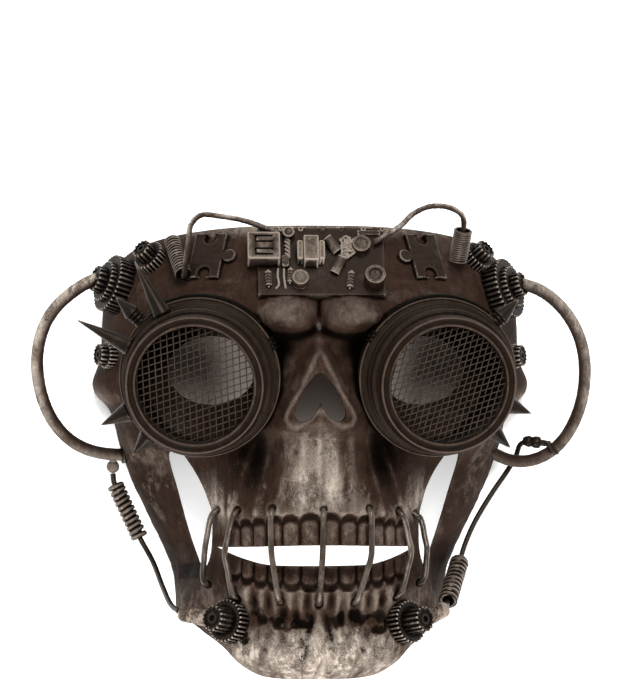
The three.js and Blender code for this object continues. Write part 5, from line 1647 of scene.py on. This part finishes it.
# Mouth wires
# Seven stiff wires, painted brown, stitch the jaws together. Each is set in a small hole above the
# upper teeth and in one below the lower teeth.
STITCH = {"radius": 1.3, "proud": 3.0, "end_proud": 0.72, "sunk": 1.0, "sides": 16}
STITCH_SHARES = (0.1, 0.3, 0.62)
stitch_paint = painted(
    "stitch_paint", (4, 2, 1), (27, 18, 12), (150, 137, 124), edge_rub=0.5, patches=1.0, bump=0.3,
    pale=0.1, gloss=0.35, rough=0.6,
)
for k, wire in enumerate(MOUTH_WIRES):
    top, middle, bottom = (np.asarray(p, float) for p in wire)
    over = [top + share * (middle - top) for share in STITCH_SHARES]
    over += [middle, *[bottom + share * (middle - bottom) for share in reversed(STITCH_SHARES)]]
    lifts = np.full(len(over), STITCH["proud"])
    lifts[[0, -1]] *= STITCH["end_proud"]
    stops = [skin(*place, lift)[0] for place, lift in zip(over, lifts)]
    ends = [skin(*place, -STITCH["sunk"])[0] for place in (top, bottom)]
    stitch = tube(threaded([ends[0], *stops, ends[1]], 0.6), STITCH["radius"], STITCH["sides"])
    solid_piece(f"mouth_wire_{k + 1}", "stitch", stitch, stitch_paint, reach=0.2)


# Painted shade
# Painted shade, nearly black, is laid where short rays from a point soon meet other surfaces: between
# the teeth, in the grooves of the gears and round the foot of every part.
SHADE_RAYS = {"rays": 14, "reach": 6.0, "off": 0.15, "from": 0.12, "to": 0.6}
SHADED_OUTSIDE = 0.02
ray_share = (np.arange(SHADE_RAYS["rays"]) + 0.5) / SHADE_RAYS["rays"]
ray_turn = np.arange(SHADE_RAYS["rays"]) * math.pi * (3 - math.sqrt(5))
ray_out = np.sqrt(ray_share)
ray_parts = [ray_out * np.cos(ray_turn), ray_out * np.sin(ray_turn), np.sqrt(1 - ray_share)]
ray_spokes = np.stack(ray_parts, axis=-1)


def mesh_triangles(mesh):
    mesh.calc_loop_triangles()
    flat = np.zeros(len(mesh.loop_triangles) * 3, np.int32)
    mesh.loop_triangles.foreach_get("vertices", flat)
    return flat.reshape(-1, 3).tolist()


def hidden_share(tree, points, normals):
    helper = np.where(np.abs(normals[:, 2:]) < 0.9, [[0.0, 0, 1]], [[1.0, 0, 0]])
    across = np.cross(normals, helper)
    across /= np.maximum(np.linalg.norm(across, axis=1), 1e-6)[:, None]
    frames = np.stack([across, np.cross(normals, across), normals], axis=1)
    rays = np.einsum("rk,nkj->nrj", ray_spokes, frames).tolist()
    starts = (points + SHADE_RAYS["off"] * normals).tolist()
    hidden = np.zeros(len(starts))
    for k, start in enumerate(starts):
        for ray in rays[k]:
            gap = tree.ray_cast(start, ray, SHADE_RAYS["reach"])[3]
            if gap is not None:
                hidden[k] += 1 - gap / SHADE_RAYS["reach"]
    return hidden / SHADE_RAYS["rays"]


all_bodies = [(mesh_points(piece.data), mesh_triangles(piece.data)) for piece in dressed]
all_points, all_triangles = joined(*all_bodies)
mask_tree = BVHTree.FromPolygons(all_points.tolist(), all_triangles, all_triangles=True)
for piece in dressed:
    points, normals = mesh_points(piece.data), mesh_normals(piece.data)
    shaded = outside > SHADED_OUTSIDE if piece is skull else np.full(len(points), True)
    dark = np.zeros(len(points))
    hidden = hidden_share(mask_tree, points[shaded], normals[shaded])
    dark[shaded] = smooth_step(SHADE_RAYS["from"], SHADE_RAYS["to"], hidden)
    # On the skull this painted shade joins the dark zones.
    if piece is skull:
        dark = outside * np.maximum(dark, on_skull(dark_field))
    keep_mask(piece.data, "dark", dark)


bpy.context.view_layer.update()
